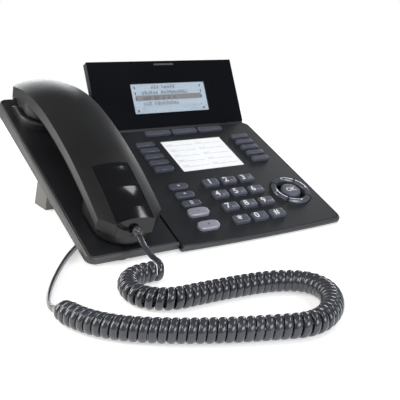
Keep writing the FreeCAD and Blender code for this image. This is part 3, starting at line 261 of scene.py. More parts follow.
def plastic(name, colour, rough, grain=900.0, depth=0.02, mottle=0.12, coat=0.0, metallic=0.0):
    """A moulded plastic: fine surface grain, slightly uneven colour and handling wear in its gloss."""
    material = bpy.data.materials.new(name)
    material.use_nodes = True
    tree = material.node_tree
    shader = tree.nodes["Principled BSDF"]
    coords = tree.nodes.new("ShaderNodeTexCoord")
    fine = tree.nodes.new("ShaderNodeTexNoise")
    fine.inputs["Scale"].default_value = grain
    fine.inputs["Detail"].default_value = 3.0
    broad = tree.nodes.new("ShaderNodeTexNoise")
    broad.inputs["Scale"].default_value = 26.0
    broad.inputs["Detail"].default_value = 4.0
    tree.links.new(coords.outputs["Object"], fine.inputs["Vector"])
    tree.links.new(coords.outputs["Object"], broad.inputs["Vector"])
    tone = tree.nodes.new("ShaderNodeValToRGB")
    low = [c * (1 - mottle) for c in colour]
    high = [min(1.0, c * (1 + mottle)) for c in colour]
    tone.color_ramp.elements[0].position = 0.3
    tone.color_ramp.elements[0].color = (*low, 1)
    tone.color_ramp.elements[1].position = 0.7
    tone.color_ramp.elements[1].color = (*high, 1)
    tree.links.new(broad.outputs["Fac"], tone.inputs["Fac"])
    tree.links.new(tone.outputs["Color"], shader.inputs["Base Color"])
    sheen = tree.nodes.new("ShaderNodeMapRange")
    sheen.inputs["From Min"].default_value = 0.3
    sheen.inputs["From Max"].default_value = 0.7
    sheen.inputs["To Min"].default_value = rough * 0.86
    sheen.inputs["To Max"].default_value = min(1.0, rough * 1.14)
    tree.links.new(broad.outputs["Fac"], sheen.inputs["Value"])
    tree.links.new(sheen.outputs["Result"], shader.inputs["Roughness"])
    bump = tree.nodes.new("ShaderNodeBump")
    bump.inputs["Strength"].default_value = 0.5
    bump.inputs["Distance"].default_value = depth / 1000
    tree.links.new(fine.outputs["Fac"], bump.inputs["Height"])
    tree.links.new(bump.outputs["Normal"], shader.inputs["Normal"])
    shader.inputs["Coat Weight"].default_value = coat
    shader.inputs["Coat Roughness"].default_value = 0.06
    shader.inputs["Metallic"].default_value = metallic
    return material


cord_pvc = plastic("cord_pvc", (0.034, 0.037, 0.048), 0.24, grain=300.0, depth=0.02, coat=0.5)
split_reach = 0.0065
split = max(k for k, c in enumerate(centres) if (c - coil_end).length < split_reach)
curly_line, base_line = centres[:split + 1], centres[split:]
curly_cord = oval_tube("curly_cord", curly_line, thin_ways[:split + 1])
base_lead = oval_tube("base_lead", base_line, thin_ways[split:])
for piece in (curly_cord, base_lead):
    piece.data.materials.append(cord_pvc)
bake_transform(curly_cord)
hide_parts("cord_handset_lead", "cord_coil")
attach(base_lead, "base")
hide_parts("cord_base_lead")
round(along(curly_line)[-1], 2)
round(along(base_line)[-1], 2)


def finish_node(name, material):
    """Give a carried-over part its finish."""
    part = nodes[name]
    if not part.material_slots:
        part.data.materials.append(material)
    for place_for in part.material_slots:
        place_for.material = material


finish_node("cord_plug", plastic("amber_plug", (0.5, 0.42, 0.3), 0.15, depth=0.0, coat=0.4))

# ---------- Body shells
# Two black satin top shells are set into a charcoal lower housing, which shows
# as a lighter band round the edge. All are moulded ABS with a fine spark-eroded
# texture, and they are held together by screws from below.
housing_abs = plastic("housing_abs", (0.04, 0.041, 0.044), 0.42, grain=1400.0, depth=0.05)
shell_abs = plastic("shell_abs", (0.0115, 0.0122, 0.0155), 0.4, grain=1400.0, depth=0.05)
finish_node("lower_housing", housing_abs)
finish_node("cradle_housing", shell_abs)
finish_node("key_plate", shell_abs)
finish_node("key_mat", plastic("mat_silicone", (0.03, 0.03, 0.032), 0.7, grain=500.0, depth=0.03))
finish_node("circuit_board", plastic("solder_mask", (0.004, 0.012, 0.008), 0.35, grain=700.0, depth=0.02))
finish_node("rubber_feet", plastic("foot_rubber", (0.02, 0.02, 0.02), 0.8, grain=800.0, depth=0.08))
finish_node("base_speaker", plastic("speaker_paper", (0.04, 0.04, 0.038), 0.85, grain=1200.0, depth=0.1))
finish_node("sockets", plastic("socket_nylon", (0.018, 0.018, 0.02), 0.5, grain=900.0, depth=0.03))
finish_node("hook_switch", plastic("hook_acetal", (0.05, 0.052, 0.056), 0.35, grain=900.0, depth=0.02))

# ---------- Key caps
# Injection-moulded slate-grey caps with soft pillow tops, each on its own
# rubber dome. The figures, letters and small marks are printed on in white.
plate_angle = math.radians(25.0)
slope = Matrix.Rotation(plate_angle, 4, "X")


def box_on(name, turn):
    """Lowest and highest corners of a part, measured square to a tilted face."""
    places = [turn.inverted() @ v.co for v in nodes[name].data.vertices]
    return (Vector([min(p[k] for p in places) for k in range(3)]),
            Vector([max(p[k] for p in places) for k in range(3)]))


key_tree = bpy.data.node_groups.new("key_cap", "GeometryNodeTree")
for label in ("Width", "Depth", "Foot", "Top", "Edge", "Squareness", "Crown", "Flare"):
    key_tree.interface.new_socket(label, in_out="INPUT", socket_type="NodeSocketFloat")
key_tree.interface.new_socket("Finish", in_out="INPUT", socket_type="NodeSocketMaterial")
key_tree.interface.new_socket("Geometry", in_out="OUTPUT", socket_type="NodeSocketGeometry")
wanted = key_tree.nodes.new("NodeGroupInput").outputs
made = key_tree.nodes.new("NodeGroupOutput")


def sum_of(tree, operation, a, b=0.0):
    """One maths node, fed by sockets or plain numbers."""
    node = tree.nodes.new("ShaderNodeMath")
    node.operation = operation
    for socket, value in zip(node.inputs, (a, b)):
        if isinstance(value, bpy.types.NodeSocket):
            tree.links.new(value, socket)
        else:
            socket.default_value = value
    return node.outputs[0]


blank = key_tree.nodes.new("GeometryNodeMeshCylinder")
blank.fill_type = "TRIANGLE_FAN"
blank.inputs["Vertices"].default_value = 56
blank.inputs["Side Segments"].default_value = 2
blank.inputs["Fill Segments"].default_value = 9
blank.inputs["Radius"].default_value = 1.0
blank.inputs["Depth"].default_value = 2.0
spot = key_tree.nodes.new("ShaderNodeSeparateXYZ")
key_tree.links.new(key_tree.nodes.new("GeometryNodeInputPosition").outputs[0], spot.inputs[0])
x, y, z = spot.outputs
reach = sum_of(key_tree, "MAXIMUM", sum_of(key_tree, "SQRT", sum_of(
    key_tree, "ADD", sum_of(key_tree, "MULTIPLY", x, x), sum_of(key_tree, "MULTIPLY", y, y))), 0.00001)
side_x = sum_of(key_tree, "DIVIDE", x, reach)
side_y = sum_of(key_tree, "DIVIDE", y, reach)
half_w = sum_of(key_tree, "MULTIPLY", wanted["Width"], 0.5)
half_d = sum_of(key_tree, "MULTIPLY", wanted["Depth"], 0.5)
share_x = sum_of(key_tree, "DIVIDE", sum_of(key_tree, "ABSOLUTE", side_x), half_w)
share_y = sum_of(key_tree, "DIVIDE", sum_of(key_tree, "ABSOLUTE", side_y), half_d)
outline = sum_of(key_tree, "POWER", sum_of(key_tree, "MAXIMUM", 1.0, sum_of(
    key_tree, "ADD", sum_of(key_tree, "POWER", share_x, wanted["Squareness"]),
    sum_of(key_tree, "POWER", share_y, wanted["Squareness"]))),
    sum_of(key_tree, "DIVIDE", -1.0, wanted["Squareness"]))
crowded = sum_of(key_tree, "SUBTRACT", 1.0, sum_of(
    key_tree, "POWER", sum_of(key_tree, "MAXIMUM", sum_of(key_tree, "SUBTRACT", 1.0, reach), 0.0), 2.2))
below = sum_of(key_tree, "LESS_THAN", z, 0.5)
out = sum_of(key_tree, "ADD", sum_of(key_tree, "MULTIPLY", crowded, outline),
             sum_of(key_tree, "MULTIPLY", sum_of(key_tree, "MULTIPLY", crowded, wanted["Flare"]), below))
new_x = sum_of(key_tree, "MULTIPLY", side_x, out)
new_y = sum_of(key_tree, "MULTIPLY", side_y, out)
from_rim = sum_of(key_tree, "MINIMUM", sum_of(key_tree, "DIVIDE", sum_of(
    key_tree, "MULTIPLY", sum_of(key_tree, "SUBTRACT", 1.0, crowded), outline), wanted["Edge"]), 1.0)
inward = sum_of(key_tree, "SUBTRACT", 1.0, from_rim)
drop = sum_of(key_tree, "MULTIPLY", wanted["Edge"], sum_of(key_tree, "SUBTRACT", 1.0, sum_of(
    key_tree, "SQRT", sum_of(key_tree, "MAXIMUM", sum_of(
        key_tree, "SUBTRACT", 1.0, sum_of(key_tree, "MULTIPLY", inward, inward)), 0.0))))
swell_x = sum_of(key_tree, "DIVIDE", new_x, half_w)
swell_y = sum_of(key_tree, "DIVIDE", new_y, half_d)
swell = sum_of(key_tree, "MULTIPLY", wanted["Crown"], sum_of(
    key_tree, "MULTIPLY", sum_of(key_tree, "SUBTRACT", 1.0, sum_of(key_tree, "MULTIPLY", swell_x, swell_x)),
    sum_of(key_tree, "SUBTRACT", 1.0, sum_of(key_tree, "MULTIPLY", swell_y, swell_y))))
top_z = sum_of(key_tree, "ADD", sum_of(key_tree, "SUBTRACT", wanted["Top"], drop), swell)
new_z = sum_of(key_tree, "ADD", sum_of(key_tree, "MULTIPLY", top_z, sum_of(key_tree, "SUBTRACT", 1.0, below)),
               sum_of(key_tree, "MULTIPLY", wanted["Foot"], below))
joined = key_tree.nodes.new("ShaderNodeCombineXYZ")
for socket, value in zip(joined.inputs, (new_x, new_y, new_z)):
    key_tree.links.new(value, socket)
shaped = key_tree.nodes.new("GeometryNodeSetPosition")
key_tree.links.new(blank.outputs["Mesh"], shaped.inputs["Geometry"])
key_tree.links.new(joined.outputs[0], shaped.inputs["Position"])
whole = key_tree.nodes.new("GeometryNodeRealizeInstances")
coloured = key_tree.nodes.new("GeometryNodeSetMaterial")
key_tree.links.new(shaped.outputs[0], whole.inputs[0])
key_tree.links.new(whole.outputs[0], coloured.inputs["Geometry"])
key_tree.links.new(wanted["Finish"], coloured.inputs["Material"])
key_tree.links.new(coloured.outputs[0], made.inputs[0])


def from_tree(tree, sizes):
    """A plain mesh of what a node tree makes with these sizes."""
    holder = bpy.data.objects.new("holder", bpy.data.meshes.new("holder"))
    bpy.context.scene.collection.objects.link(holder)
    step = holder.modifiers.new("shape", "NODES")
    step.node_group = tree
    for item in tree.interface.items_tree:
        if item.in_out == "INPUT" and item.name in sizes:
            step[item.identifier] = sizes[item.name]
    bpy.context.view_layer.update()
    mesh = bpy.data.meshes.new_from_object(holder.evaluated_get(bpy.context.evaluated_depsgraph_get()))
    bpy.data.objects.remove(holder)
    return mesh


stroke_weight = 0.022


def letters(text, size, centre, height):
    """Printed characters as a thin flat mesh, laid at the height that a rule gives for each place."""
    curve = bpy.data.curves.new("print", "FONT")
    curve.body = text
    curve.size = size
    curve.align_x = "CENTER"
    curve.align_y = "CENTER"
    curve.resolution_u = 3
    curve.offset = size * stroke_weight
    holder = bpy.data.objects.new("print", curve)
    mesh = bpy.data.meshes.new_from_object(holder)
    bpy.data.objects.remove(holder)
    for v in mesh.vertices:
        v.co = Vector((v.co.x + centre[0], v.co.y + centre[1], 0.0))
        v.co.z = height(v.co.x, v.co.y)
    return mesh


crease_angle = math.radians(38)


def one_piece(name, meshes, turn, body, replaced=()):
    """Join meshes drawn over the plate into one object in its real place."""
    whole_mesh = bmesh.new()
    finishes = []
    for mesh in meshes:
        first = len(whole_mesh.faces)
        shift = len(finishes)
        finishes += list(mesh.materials)
        whole_mesh.from_mesh(mesh)
        whole_mesh.faces.ensure_lookup_table()
        for face in whole_mesh.faces[first:]:
            face.material_index += shift
    made_mesh = bpy.data.meshes.new(name)
    whole_mesh.to_mesh(made_mesh)
    whole_mesh.free()
    made_mesh.transform(turn)
    made_mesh.shade_smooth()
    made_mesh.set_sharp_from_angle(angle=crease_angle)
    for finish in finishes:
        made_mesh.materials.append(finish)
    piece = bpy.data.objects.new(name, made_mesh)
    bpy.context.scene.collection.objects.link(piece)
    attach(piece, body)
    if replaced:
        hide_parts(*replaced)
    return piece


slate_cap = plastic("slate_cap", (0.078, 0.085, 0.112), 0.3, grain=1500.0, depth=0.03)
silver_cap = plastic("silver_cap", (0.42, 0.42, 0.5), 0.33, grain=1700.0, depth=0.02, metallic=0.35)
white_print = plastic("white_print", (0.78, 0.79, 0.83), 0.5, depth=0.0, mottle=0.02)
faint_print = plastic("faint_print", (0.3, 0.31, 0.36), 0.5, depth=0.0, mottle=0.02)
grey_print = plastic("grey_print", (0.12, 0.12, 0.15), 0.5, depth=0.0, mottle=0.02)
dial_letters = {"1": "", "2": "abc", "3": "def", "4": "ghi", "5": "jkl", "6": "mno",
                "7": "pqrs", "8": "tuv", "9": "wxyz", "star": "", "0": "+", "hash": ""}
flange = 0.0008
cap_flare = 0.00022
print_lift = 0.00007
cap_shape = {  # squareness of the outline, rise of the crown, roll of the edge
    "dial": (9.0, 0.00006, 0.0010), "line": (9.0, 0.00008, 0.0008), "soft": (11.0, 0.00008, 0.0009),
    "menu": (5.0, 0.00006, 0.0009), "silver": (3.2, 0.00012, 0.0010)}
figure_size, star_size, letter_size = 0.0085, 0.0105, 0.0032
figure_beside_letters, figure_alone, star_low_set = -0.0031, -0.0014, -0.0013
letters_at = (0.0027, -0.0014)
menu_sign_size, menu_sign_at = 0.0042, (0.0, 0.0005)
silver_sign_size, silver_sign_at = 0.0046, (0.0, 0.0006)


def over_cap(width, depth, top, crown):
    """The height rule of a print that follows the top of a cap of this size."""
    def height(x, y):
        a = x / (width / 2)
        b = y / (depth / 2)
        return top + crown * (1 - a * a) * (1 - b * b) + print_lift
    return height


for name in sorted(n for n in nodes if "_key_" in n):
    low, high = box_on(name, slope)
    kind, mark = name.split("_key_")
    width = high.x - low.x - 2 * flange
    depth = high.y - low.y - 2 * flange
    middle = ((low.x + high.x) / 2, (low.y + high.y) / 2)
    square, crown, edge = cap_shape[kind]
    top = high.z - crown
    cap = from_tree(key_tree, {"Width": width, "Depth": depth, "Foot": low.z, "Top": top, "Edge": edge,
                               "Squareness": square, "Crown": crown, "Flare": cap_flare,
                               "Finish": silver_cap if kind == "silver" else slate_cap})
    on_top = over_cap(width, depth, top, crown)
    prints = []
    if kind == "dial":
        figure = {"star": "*", "hash": "#"}.get(mark, mark)
        shift = figure_beside_letters if dial_letters[mark] else figure_alone
        low_set = star_low_set if mark == "star" else 0.0
        size = star_size if mark == "star" else figure_size
        prints.append((letters(figure, size, (shift, low_set), on_top), white_print))
        if dial_letters[mark]:
            prints.append((letters(dial_letters[mark], letter_size, letters_at, on_top), faint_print))
    if kind == "menu":
        sign = {"1": "o", "2": "=", "3": "[]"}[mark]
        prints.append((letters(sign, menu_sign_size, menu_sign_at, on_top), white_print))
    if kind == "silver":
        sign = {"1": "-", "2": "x"}[mark]
        prints.append((letters(sign, silver_sign_size, silver_sign_at, on_top), grey_print))
    meshes = [cap]
    for mesh, ink in prints:
        mesh.materials.append(ink)
        meshes.append(mesh)
    for mesh in meshes:
        mesh.transform(Matrix.Translation((middle[0], middle[1], 0)))
    one_piece(kind + "_cap_" + mark, meshes, slope, name, (name,))

# ---------- Navigation ring and its centre key
# Four glossy dark-plated quarter pads on one rocking ring, round a speckled
# satin key. Small printed arrowheads point the four ways.
ring_low, ring_high = box_on("nav_ring", slope)
ring_middle = Vector(((ring_low.x + ring_high.x) / 2, (ring_low.y + ring_high.y) / 2, 0))
ring_out = (ring_high.x - ring_low.x) / 2
ok_low, ok_high = box_on("ok_key", slope)
ring_in = 0.0125


def swept_arc(section, start, end, steps, closed=False):
    """Sweep a section of (radius, height) points round the ring's middle."""
    mesh = bmesh.new()
    rings = []
    for k in range(steps if closed else steps + 1):
        a = start + (end - start) * k / steps
        rings.append([mesh.verts.new((r * math.cos(a), r * math.sin(a), h)) for r, h in section])
    pairs = list(zip(rings, rings[1:])) + ([(rings[-1], rings[0])] if closed else [])
    for one, two in pairs:
        for s in range(len(section)):
            t = (s + 1) % len(section)
            mesh.faces.new((one[s], one[t], two[t], two[s]))
    if not closed:
        mesh.faces.new(rings[0])
        mesh.faces.new(rings[-1][::-1])
    bmesh.ops.recalc_face_normals(mesh, faces=mesh.faces)
    made_mesh = bpy.data.meshes.new("arc")
    mesh.to_mesh(made_mesh)
    mesh.free()
    return made_mesh


pad_wide = ring_out - ring_in
pad_rise = 0.0017
pad_inset = 0.0002
pad_gap = 3.2
web_inset, web_lift, web_top = 0.0006, 0.0002, 0.0032
arrow_tip, arrow_back, arrow_half = 0.0011, -0.0006, 0.0012
pad_foot = ring_high.z - pad_rise
pad_section = [(ring_in + pad_inset, ring_low.z)]
for k in range(13):
    a = math.pi * (1 - k / 12)
    bulge = abs(math.sin(a)) ** 0.55
    radius = ring_in + pad_wide * (0.5 + 0.48 * math.cos(a))
    pad_section.append((radius, pad_foot + (ring_high.z - pad_foot) * bulge))
pad_section.append((ring_out - pad_inset, ring_low.z))
ring_gloss = plastic("ring_gloss", (0.13, 0.14, 0.17), 0.2, grain=900.0, depth=0.008, metallic=0.55, coat=0.5)
ring_parts = []
for quarter in range(4):
    first = math.radians(45 + 90 * quarter + pad_gap)
    last = math.radians(135 + 90 * quarter - pad_gap)
    ring_parts.append(swept_arc(pad_section, first, last, 22))
web = [(ring_in + web_inset, ring_low.z + web_lift), (ring_in + web_inset, ring_low.z + web_top),
       (ring_out - web_inset, ring_low.z + web_top), (ring_out - web_inset, ring_low.z + web_lift)]
ring_parts.append(swept_arc(web, 0.0, 2 * math.pi, 64, closed=True))
for mesh in ring_parts[:4]:
    mesh.materials.append(ring_gloss)
ring_parts[4].materials.append(shell_abs)
for quarter in range(4):
    a = math.radians(90 * quarter)
    arrow = bpy.data.meshes.new("arrow")
    r = ring_in + pad_wide * 0.5
    points = []
    for along_r, across in ((arrow_tip, 0.0), (arrow_back, arrow_half), (arrow_back, -arrow_half)):
        points.append(((r + along_r) * math.cos(a) - across * math.sin(a),
                       (r + along_r) * math.sin(a) + across * math.cos(a), ring_high.z + 0.00003))
    arrow.from_pydata(points, [], [(0, 1, 2)])
    arrow.materials.append(white_print)
    ring_parts.append(arrow)
for mesh in ring_parts:
    mesh.transform(Matrix.Translation(ring_middle))
one_piece("navigation_ring", ring_parts, slope, "nav_ring", ("nav_ring",))

speckled = plastic("speckled_key", (0.088, 0.093, 0.122), 0.38, grain=2200.0, depth=0.06, mottle=0.3)
ok_radius = (ok_high.x - ok_low.x) / 2
ok_crown, ok_edge, ok_print_size = 0.00015, 0.0012, 0.0066
ok_cap = from_tree(key_tree, {"Width": 2 * ok_radius, "Depth": 2 * ok_radius, "Foot": ok_low.z,
                              "Top": ok_high.z - ok_crown, "Edge": ok_edge, "Squareness": 2.0,
                              "Crown": ok_crown, "Flare": 0.0, "Finish": speckled})
ok_print = letters("OK", ok_print_size, (0, 0),
                   lambda x, y: ok_high.z + print_lift - ok_crown * (x * x + y * y) / ok_radius ** 2)
ok_print.materials.append(white_print)
for mesh in (ok_cap, ok_print):
    mesh.transform(Matrix.Translation(ring_middle))
one_piece("ok_cap", [ok_cap, ok_print], slope, "ok_key", ("ok_key",))

# ---------- Directory card and its window
# A printed paper card with ruled name lines in two columns lies in a shallow
# pocket in the plate, under a clear snap-in window.
card_low, card_high = box_on("directory_card", slope)
card_paper_painted_glow = plastic("card_paper_painted_glow", (0.9, 0.91, 0.93), 0.8, grain=700.0, depth=0.03, mottle=0.02)
# The paper also gets a faint white emission: a painted glow that keeps the card bright beyond what the lamps
# give it.
card_paper_painted_glow.node_tree.nodes["Principled BSDF"].inputs["Emission Color"].default_value = (1, 1, 1, 1)
card_paper_painted_glow.node_tree.nodes["Principled BSDF"].inputs["Emission Strength"].default_value = 0.2
finish_node("directory_card", card_paper_painted_glow)
rule_grey = plastic("rule_grey", (0.4, 0.41, 0.46), 0.8, depth=0.0, mottle=0.03)
rules = bmesh.new()


def flat_patch(mesh, x0, x1, y0, y1, level):
    """A printed rectangle at a level."""
    corners = ((x0, y0, level), (x1, y0, level), (x1, y1, level), (x0, y1, level))
    mesh.faces.new([mesh.verts.new(p) for p in corners])


card_span = card_high.x - card_low.x
card_deep = card_high.y - card_low.y
ink_lift = 0.00002
rule_thick, tick_low, tick_high = 0.00035, 0.0018, 0.0022
for column in range(2):
    x0 = card_low.x + card_span * (0.05 + 0.48 * column)
    x1 = x0 + card_span * 0.42
    for row in range(5):
        y = card_high.y - card_deep * (0.16 + 0.175 * row)
        flat_patch(rules, x0, x1, y, y + rule_thick, card_high.z + ink_lift)
        flat_patch(rules, x0, x0 + card_span * 0.10, y + tick_low, y + tick_high, card_high.z + ink_lift)
rule_mesh = bpy.data.meshes.new("card_rules")
rules.to_mesh(rule_mesh)
rules.free()
rule_mesh.materials.append(rule_grey)
one_piece("card_rules", [rule_mesh], slope, "base", ())


def clear_sheet(name, tint, share):
    """Thin clear plastic: mostly see-through, with a gloss that shows at low angles and faint wipe marks."""
    material = plastic(name, tint, 0.05, grain=60.0, depth=0.002, mottle=0.02)
    material.node_tree.nodes["Principled BSDF"].inputs["Alpha"].default_value = share
    return material


finish_node("card_window", clear_sheet("card_window_clear", (0.95, 0.97, 1.0), 0.1))

# ---------- Display flap
# A thin charcoal back cover carries a glossy black front panel with a clear
# lens over a pale blue-grey liquid crystal, and a narrow message lamp.
flap_angle = math.radians(67.8)
flap_turn = Matrix.Rotation(flap_angle, 4, "X")
finish_node("flap_cover", plastic("flap_abs", (0.035, 0.036, 0.04), 0.42, grain=1400.0, depth=0.05))
panel_gloss = plastic("panel_gloss", (0.0035, 0.0042, 0.0065), 0.1, grain=120.0, depth=0.002)
panel_gloss.node_tree.nodes["Principled BSDF"].inputs["Specular IOR Level"].default_value = 0.28
finish_node("flap_front_panel", panel_gloss)
crystal = plastic("liquid_crystal", (0.42, 0.49, 0.55), 0.45, grain=900.0, depth=0.0, mottle=0.05)
crystal.node_tree.nodes["Principled BSDF"].inputs["Emission Color"].default_value = (0.7, 0.84, 1.0, 1)
crystal.node_tree.nodes["Principled BSDF"].inputs["Emission Strength"].default_value = 0.32
finish_node("screen_module", crystal)
finish_node("screen_lens", clear_sheet("lens_clear", (0.8, 0.86, 0.95), 0.12))
finish_node("message_lamp", plastic("smoked_lamp", (0.09, 0.09, 0.1), 0.25, depth=0.01, coat=0.3))
lens_low, lens_high = box_on("screen_lens", flap_turn)
lens_span = lens_high.x - lens_low.x
lens_tall = lens_high.y - lens_low.y
cells = random.Random(7)
segments = bmesh.new()
level = lens_high.z + ink_lift
row_tall = lens_tall / 5.4
cell_pitch, stroke_pitch, stroke_wide = 0.00285, 0.0008, 0.00035
bar_long, bar_thick = 0.0019, 0.0003
blank_share = 0.12
for row, (indent, count) in enumerate(((0.26, 10), (0.13, 17), (0.10, 13), (0.13, 13))):
    y0 = lens_high.y - row_tall * (row + 0.95)
    for cell in range(count):
        x0 = lens_low.x + lens_span * indent + cell * cell_pitch
        if cells.random() < blank_share:
            continue
        for stroke in range(3):
            across = x0 + stroke_pitch * stroke
            tall = row_tall * cells.choice((0.35, 0.55, 0.62))
            flat_patch(segments, across, across + stroke_wide, y0, y0 + tall, level)
        for bar in range(2):
            up_to = y0 + row_tall * cells.choice((0.0, 0.27, 0.55))
            flat_patch(segments, x0, x0 + bar_long, up_to, up_to + bar_thick, level)
sign_left, sign_right = lens_low.x + 0.003, lens_high.x - 0.006
sign_wide, sign_foot, sign_top = 0.0016, 0.0016, 0.0036
side_mark_wide, side_mark_tall = 0.0012, 0.0022
for x0 in (sign_left, sign_right):
    flat_patch(segments, x0, x0 + sign_wide, lens_low.y + sign_foot, lens_low.y + sign_top, level)
    for row in range(3):
        up_to = lens_high.y - row_tall * (row + 0.9)
        flat_patch(segments, x0, x0 + side_mark_wide, up_to, up_to + side_mark_tall, level)
segment_mesh = bpy.data.meshes.new("display_segments")
segments.to_mesh(segment_mesh)
segments.free()
segment_mesh.materials.append(plastic("segment_ink", (0.08, 0.09, 0.11), 0.5, depth=0.0, mottle=0.05))
band = bmesh.new()
flat_patch(band, lens_low.x + lens_span * 0.04, lens_low.x + lens_span * 0.93,
           lens_high.y - row_tall * 3.05, lens_high.y - row_tall * 2.1, level - 0.00001)
band_mesh = bpy.data.meshes.new("display_band")
band.to_mesh(band_mesh)
band.free()
band_mesh.materials.append(plastic("band_ink", (0.24, 0.24, 0.24), 0.5, depth=0.0, mottle=0.1))
one_piece("display_rows", [segment_mesh, band_mesh], flap_turn, "display_flap", ())

# ---------- Handset
# Two satin black shells meet at a seam along the side. A glossy cover with two
# shallow waves is let into the mouthpiece, and the cord leaves by a ball joint.
handset_abs = plastic("handset_abs", (0.0108, 0.011, 0.0118), 0.36, grain=1500.0, depth=0.04)
finish_node("handset_upper_shell", handset_abs)
finish_node("handset_lower_shell", handset_abs)
cover_gloss = plastic("cover_gloss", (0.004, 0.004, 0.005), 0.12, grain=150.0, depth=0.004)
finish_node("mouthpiece_insert", cover_gloss)
grommet_pvc = plastic("grommet_pvc", (0.05, 0.052, 0.06), 0.28, grain=700.0, depth=0.02, coat=0.3)
finish_node("cord_grommet", grommet_pvc)
finish_node("earpiece_speaker", plastic("ear_cloth", (0.02, 0.02, 0.02), 0.9, grain=1600.0, depth=0.1))
finish_node("microphone", plastic("microphone_can", (0.3, 0.3, 0.31), 0.4, depth=0.01, metallic=0.8))

# ---------- Stand
# A moulded grey U-shaped foot with two flat legs and a bar along the table,
# which folds up under the body on stub pins.
finish_node("stand_foot", plastic("stand_abs", (0.1, 0.097, 0.09), 0.4, grain=1200.0, depth=0.05))

# ---------- Housing screws
# Six zinc-plated cross-head screws sit in round wells in the underside.
screw_tree = bpy.data.node_groups.new("housing_screw", "GeometryNodeTree")
screw_tree.interface.new_socket("Places", in_out="INPUT", socket_type="NodeSocketGeometry")
for label in ("Head Radius", "Head Height", "Shank Radius", "Shank Length", "Drive Width"):
    screw_tree.interface.new_socket(label, in_out="INPUT", socket_type="NodeSocketFloat")
screw_tree.interface.new_socket("Seed", in_out="INPUT", socket_type="NodeSocketInt")
screw_tree.interface.new_socket("Finish", in_out="INPUT", socket_type="NodeSocketMaterial")
screw_tree.interface.new_socket("Geometry", in_out="OUTPUT", socket_type="NodeSocketGeometry")
given = screw_tree.nodes.new("NodeGroupInput").outputs
ready = screw_tree.nodes.new("NodeGroupOutput")
head = screw_tree.nodes.new("GeometryNodeMeshCylinder")
head.inputs["Vertices"].default_value = 32
screw_tree.links.new(given["Head Radius"], head.inputs["Radius"])
screw_tree.links.new(given["Head Height"], head.inputs["Depth"])
shank = screw_tree.nodes.new("GeometryNodeMeshCylinder")
shank.inputs["Vertices"].default_value = 16
screw_tree.links.new(given["Shank Radius"], shank.inputs["Radius"])
screw_tree.links.new(given["Shank Length"], shank.inputs["Depth"])
lift = screw_tree.nodes.new("ShaderNodeCombineXYZ")
screw_tree.links.new(sum_of(screw_tree, "MULTIPLY", given["Shank Length"], 0.5), lift.inputs["Z"])
raised = screw_tree.nodes.new("GeometryNodeTransform")
screw_tree.links.new(shank.outputs["Mesh"], raised.inputs["Geometry"])
screw_tree.links.new(lift.outputs[0], raised.inputs["Translation"])
drive_parts = []
for turned in (0, 1):
    size = screw_tree.nodes.new("ShaderNodeCombineXYZ")
    long_way = sum_of(screw_tree, "MULTIPLY", given["Head Radius"], 1.3)
    screw_tree.links.new(given["Drive Width"] if turned else long_way, size.inputs["X"])
    screw_tree.links.new(long_way if turned else given["Drive Width"], size.inputs["Y"])
    screw_tree.links.new(given["Head Height"], size.inputs["Z"])
    bar = screw_tree.nodes.new("GeometryNodeMeshCube")
    screw_tree.links.new(size.outputs[0], bar.inputs["Size"])
    drive_parts.append(bar.outputs["Mesh"])
sunk = screw_tree.nodes.new("ShaderNodeCombineXYZ")
screw_tree.links.new(sum_of(screw_tree, "MULTIPLY", given["Head Height"], -0.6), sunk.inputs["Z"])
cutters = []
for part in drive_parts:
    moved = screw_tree.nodes.new("GeometryNodeTransform")
    screw_tree.links.new(part, moved.inputs["Geometry"])
    screw_tree.links.new(sunk.outputs[0], moved.inputs["Translation"])
    cutters.append(moved.outputs[0])
carved = head.outputs["Mesh"]
for cutter in cutters:
    cut = screw_tree.nodes.new("GeometryNodeMeshBoolean")
    cut.operation = "DIFFERENCE"
    screw_tree.links.new(carved, cut.inputs["Mesh 1"])
    screw_tree.links.new(cutter, cut.inputs["Mesh 2"])
    carved = cut.outputs["Mesh"]
both = screw_tree.nodes.new("GeometryNodeJoinGeometry")
screw_tree.links.new(raised.outputs[0], both.inputs[0])
screw_tree.links.new(carved, both.inputs[0])
spun = screw_tree.nodes.new("FunctionNodeRandomValue")
spun.data_type = "FLOAT_VECTOR"
for socket in spun.inputs:
    if socket.name == "Min" and socket.type == "VECTOR":
        socket.default_value = (0, 0, 0)
    if socket.name == "Max" and socket.type == "VECTOR":
        socket.default_value = (0, 0, math.pi)
screw_tree.links.new(given["Seed"], spun.inputs["Seed"])
placed = screw_tree.nodes.new("GeometryNodeInstanceOnPoints")
screw_tree.links.new(given["Places"], placed.inputs["Points"])
screw_tree.links.new(both.outputs[0], placed.inputs["Instance"])
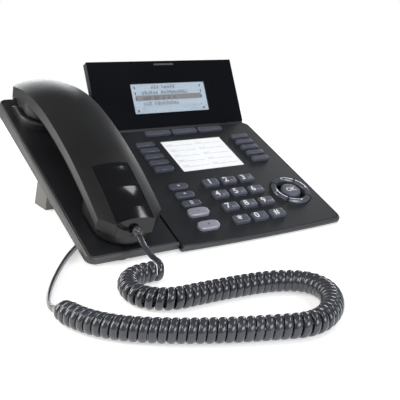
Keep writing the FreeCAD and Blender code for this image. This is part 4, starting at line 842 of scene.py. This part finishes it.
screw_tree.links.new(next(o for o in spun.outputs if o.type == "VECTOR"), placed.inputs["Rotation"])
real = screw_tree.nodes.new("GeometryNodeRealizeInstances")
plated = screw_tree.nodes.new("GeometryNodeSetMaterial")
screw_tree.links.new(placed.outputs[0], real.inputs[0])
screw_tree.links.new(real.outputs[0], plated.inputs["Geometry"])
screw_tree.links.new(given["Finish"], plated.inputs["Material"])
screw_tree.links.new(plated.outputs[0], ready.inputs[0])

zinc = plastic("zinc_plate", (0.5, 0.5, 0.48), 0.3, grain=500.0, depth=0.01, metallic=1.0)
screw_reach = 0.008
half_head = 0.0009
screw_points = []
for v in nodes["housing_screws"].data.vertices:
    p = slope.inverted() @ v.co
    near = [q for q in screw_points if math.hypot(q[0].x - p.x, q[0].y - p.y) < screw_reach]
    if near:
        near[0].append(p)
    else:
        screw_points.append([p])
head_points, lengths = [], []
for cluster in screw_points:
    lows = [min(p[k] for p in cluster) for k in range(3)]
    highs = [max(p[k] for p in cluster) for k in range(3)]
    head_points.append(((lows[0] + highs[0]) / 2, (lows[1] + highs[1]) / 2, lows[2] + half_head))
    lengths.append(highs[2] - lows[2] - half_head)
spots = bpy.data.meshes.new("screw_spots")
spots.from_pydata(head_points, [], [])
spot_holder = bpy.data.objects.new("screw_spots", spots)
bpy.context.scene.collection.objects.link(spot_holder)
step = spot_holder.modifiers.new("screws", "NODES")
step.node_group = screw_tree
screw_sizes = {"Head Radius": 0.0026, "Head Height": 2 * half_head, "Shank Radius": 0.0013,
               "Shank Length": min(lengths), "Drive Width": 0.0007, "Seed": 3, "Finish": zinc}
for item in screw_tree.interface.items_tree:
    if item.in_out == "INPUT" and item.name in screw_sizes:
        step[item.identifier] = screw_sizes[item.name]
bpy.context.view_layer.update()
spot_done = spot_holder.evaluated_get(bpy.context.evaluated_depsgraph_get())
screw_mesh = bpy.data.meshes.new_from_object(spot_done)
bpy.data.objects.remove(spot_holder)
one_piece("cross_head_screws", [screw_mesh], slope, "base", ("housing_screws",))
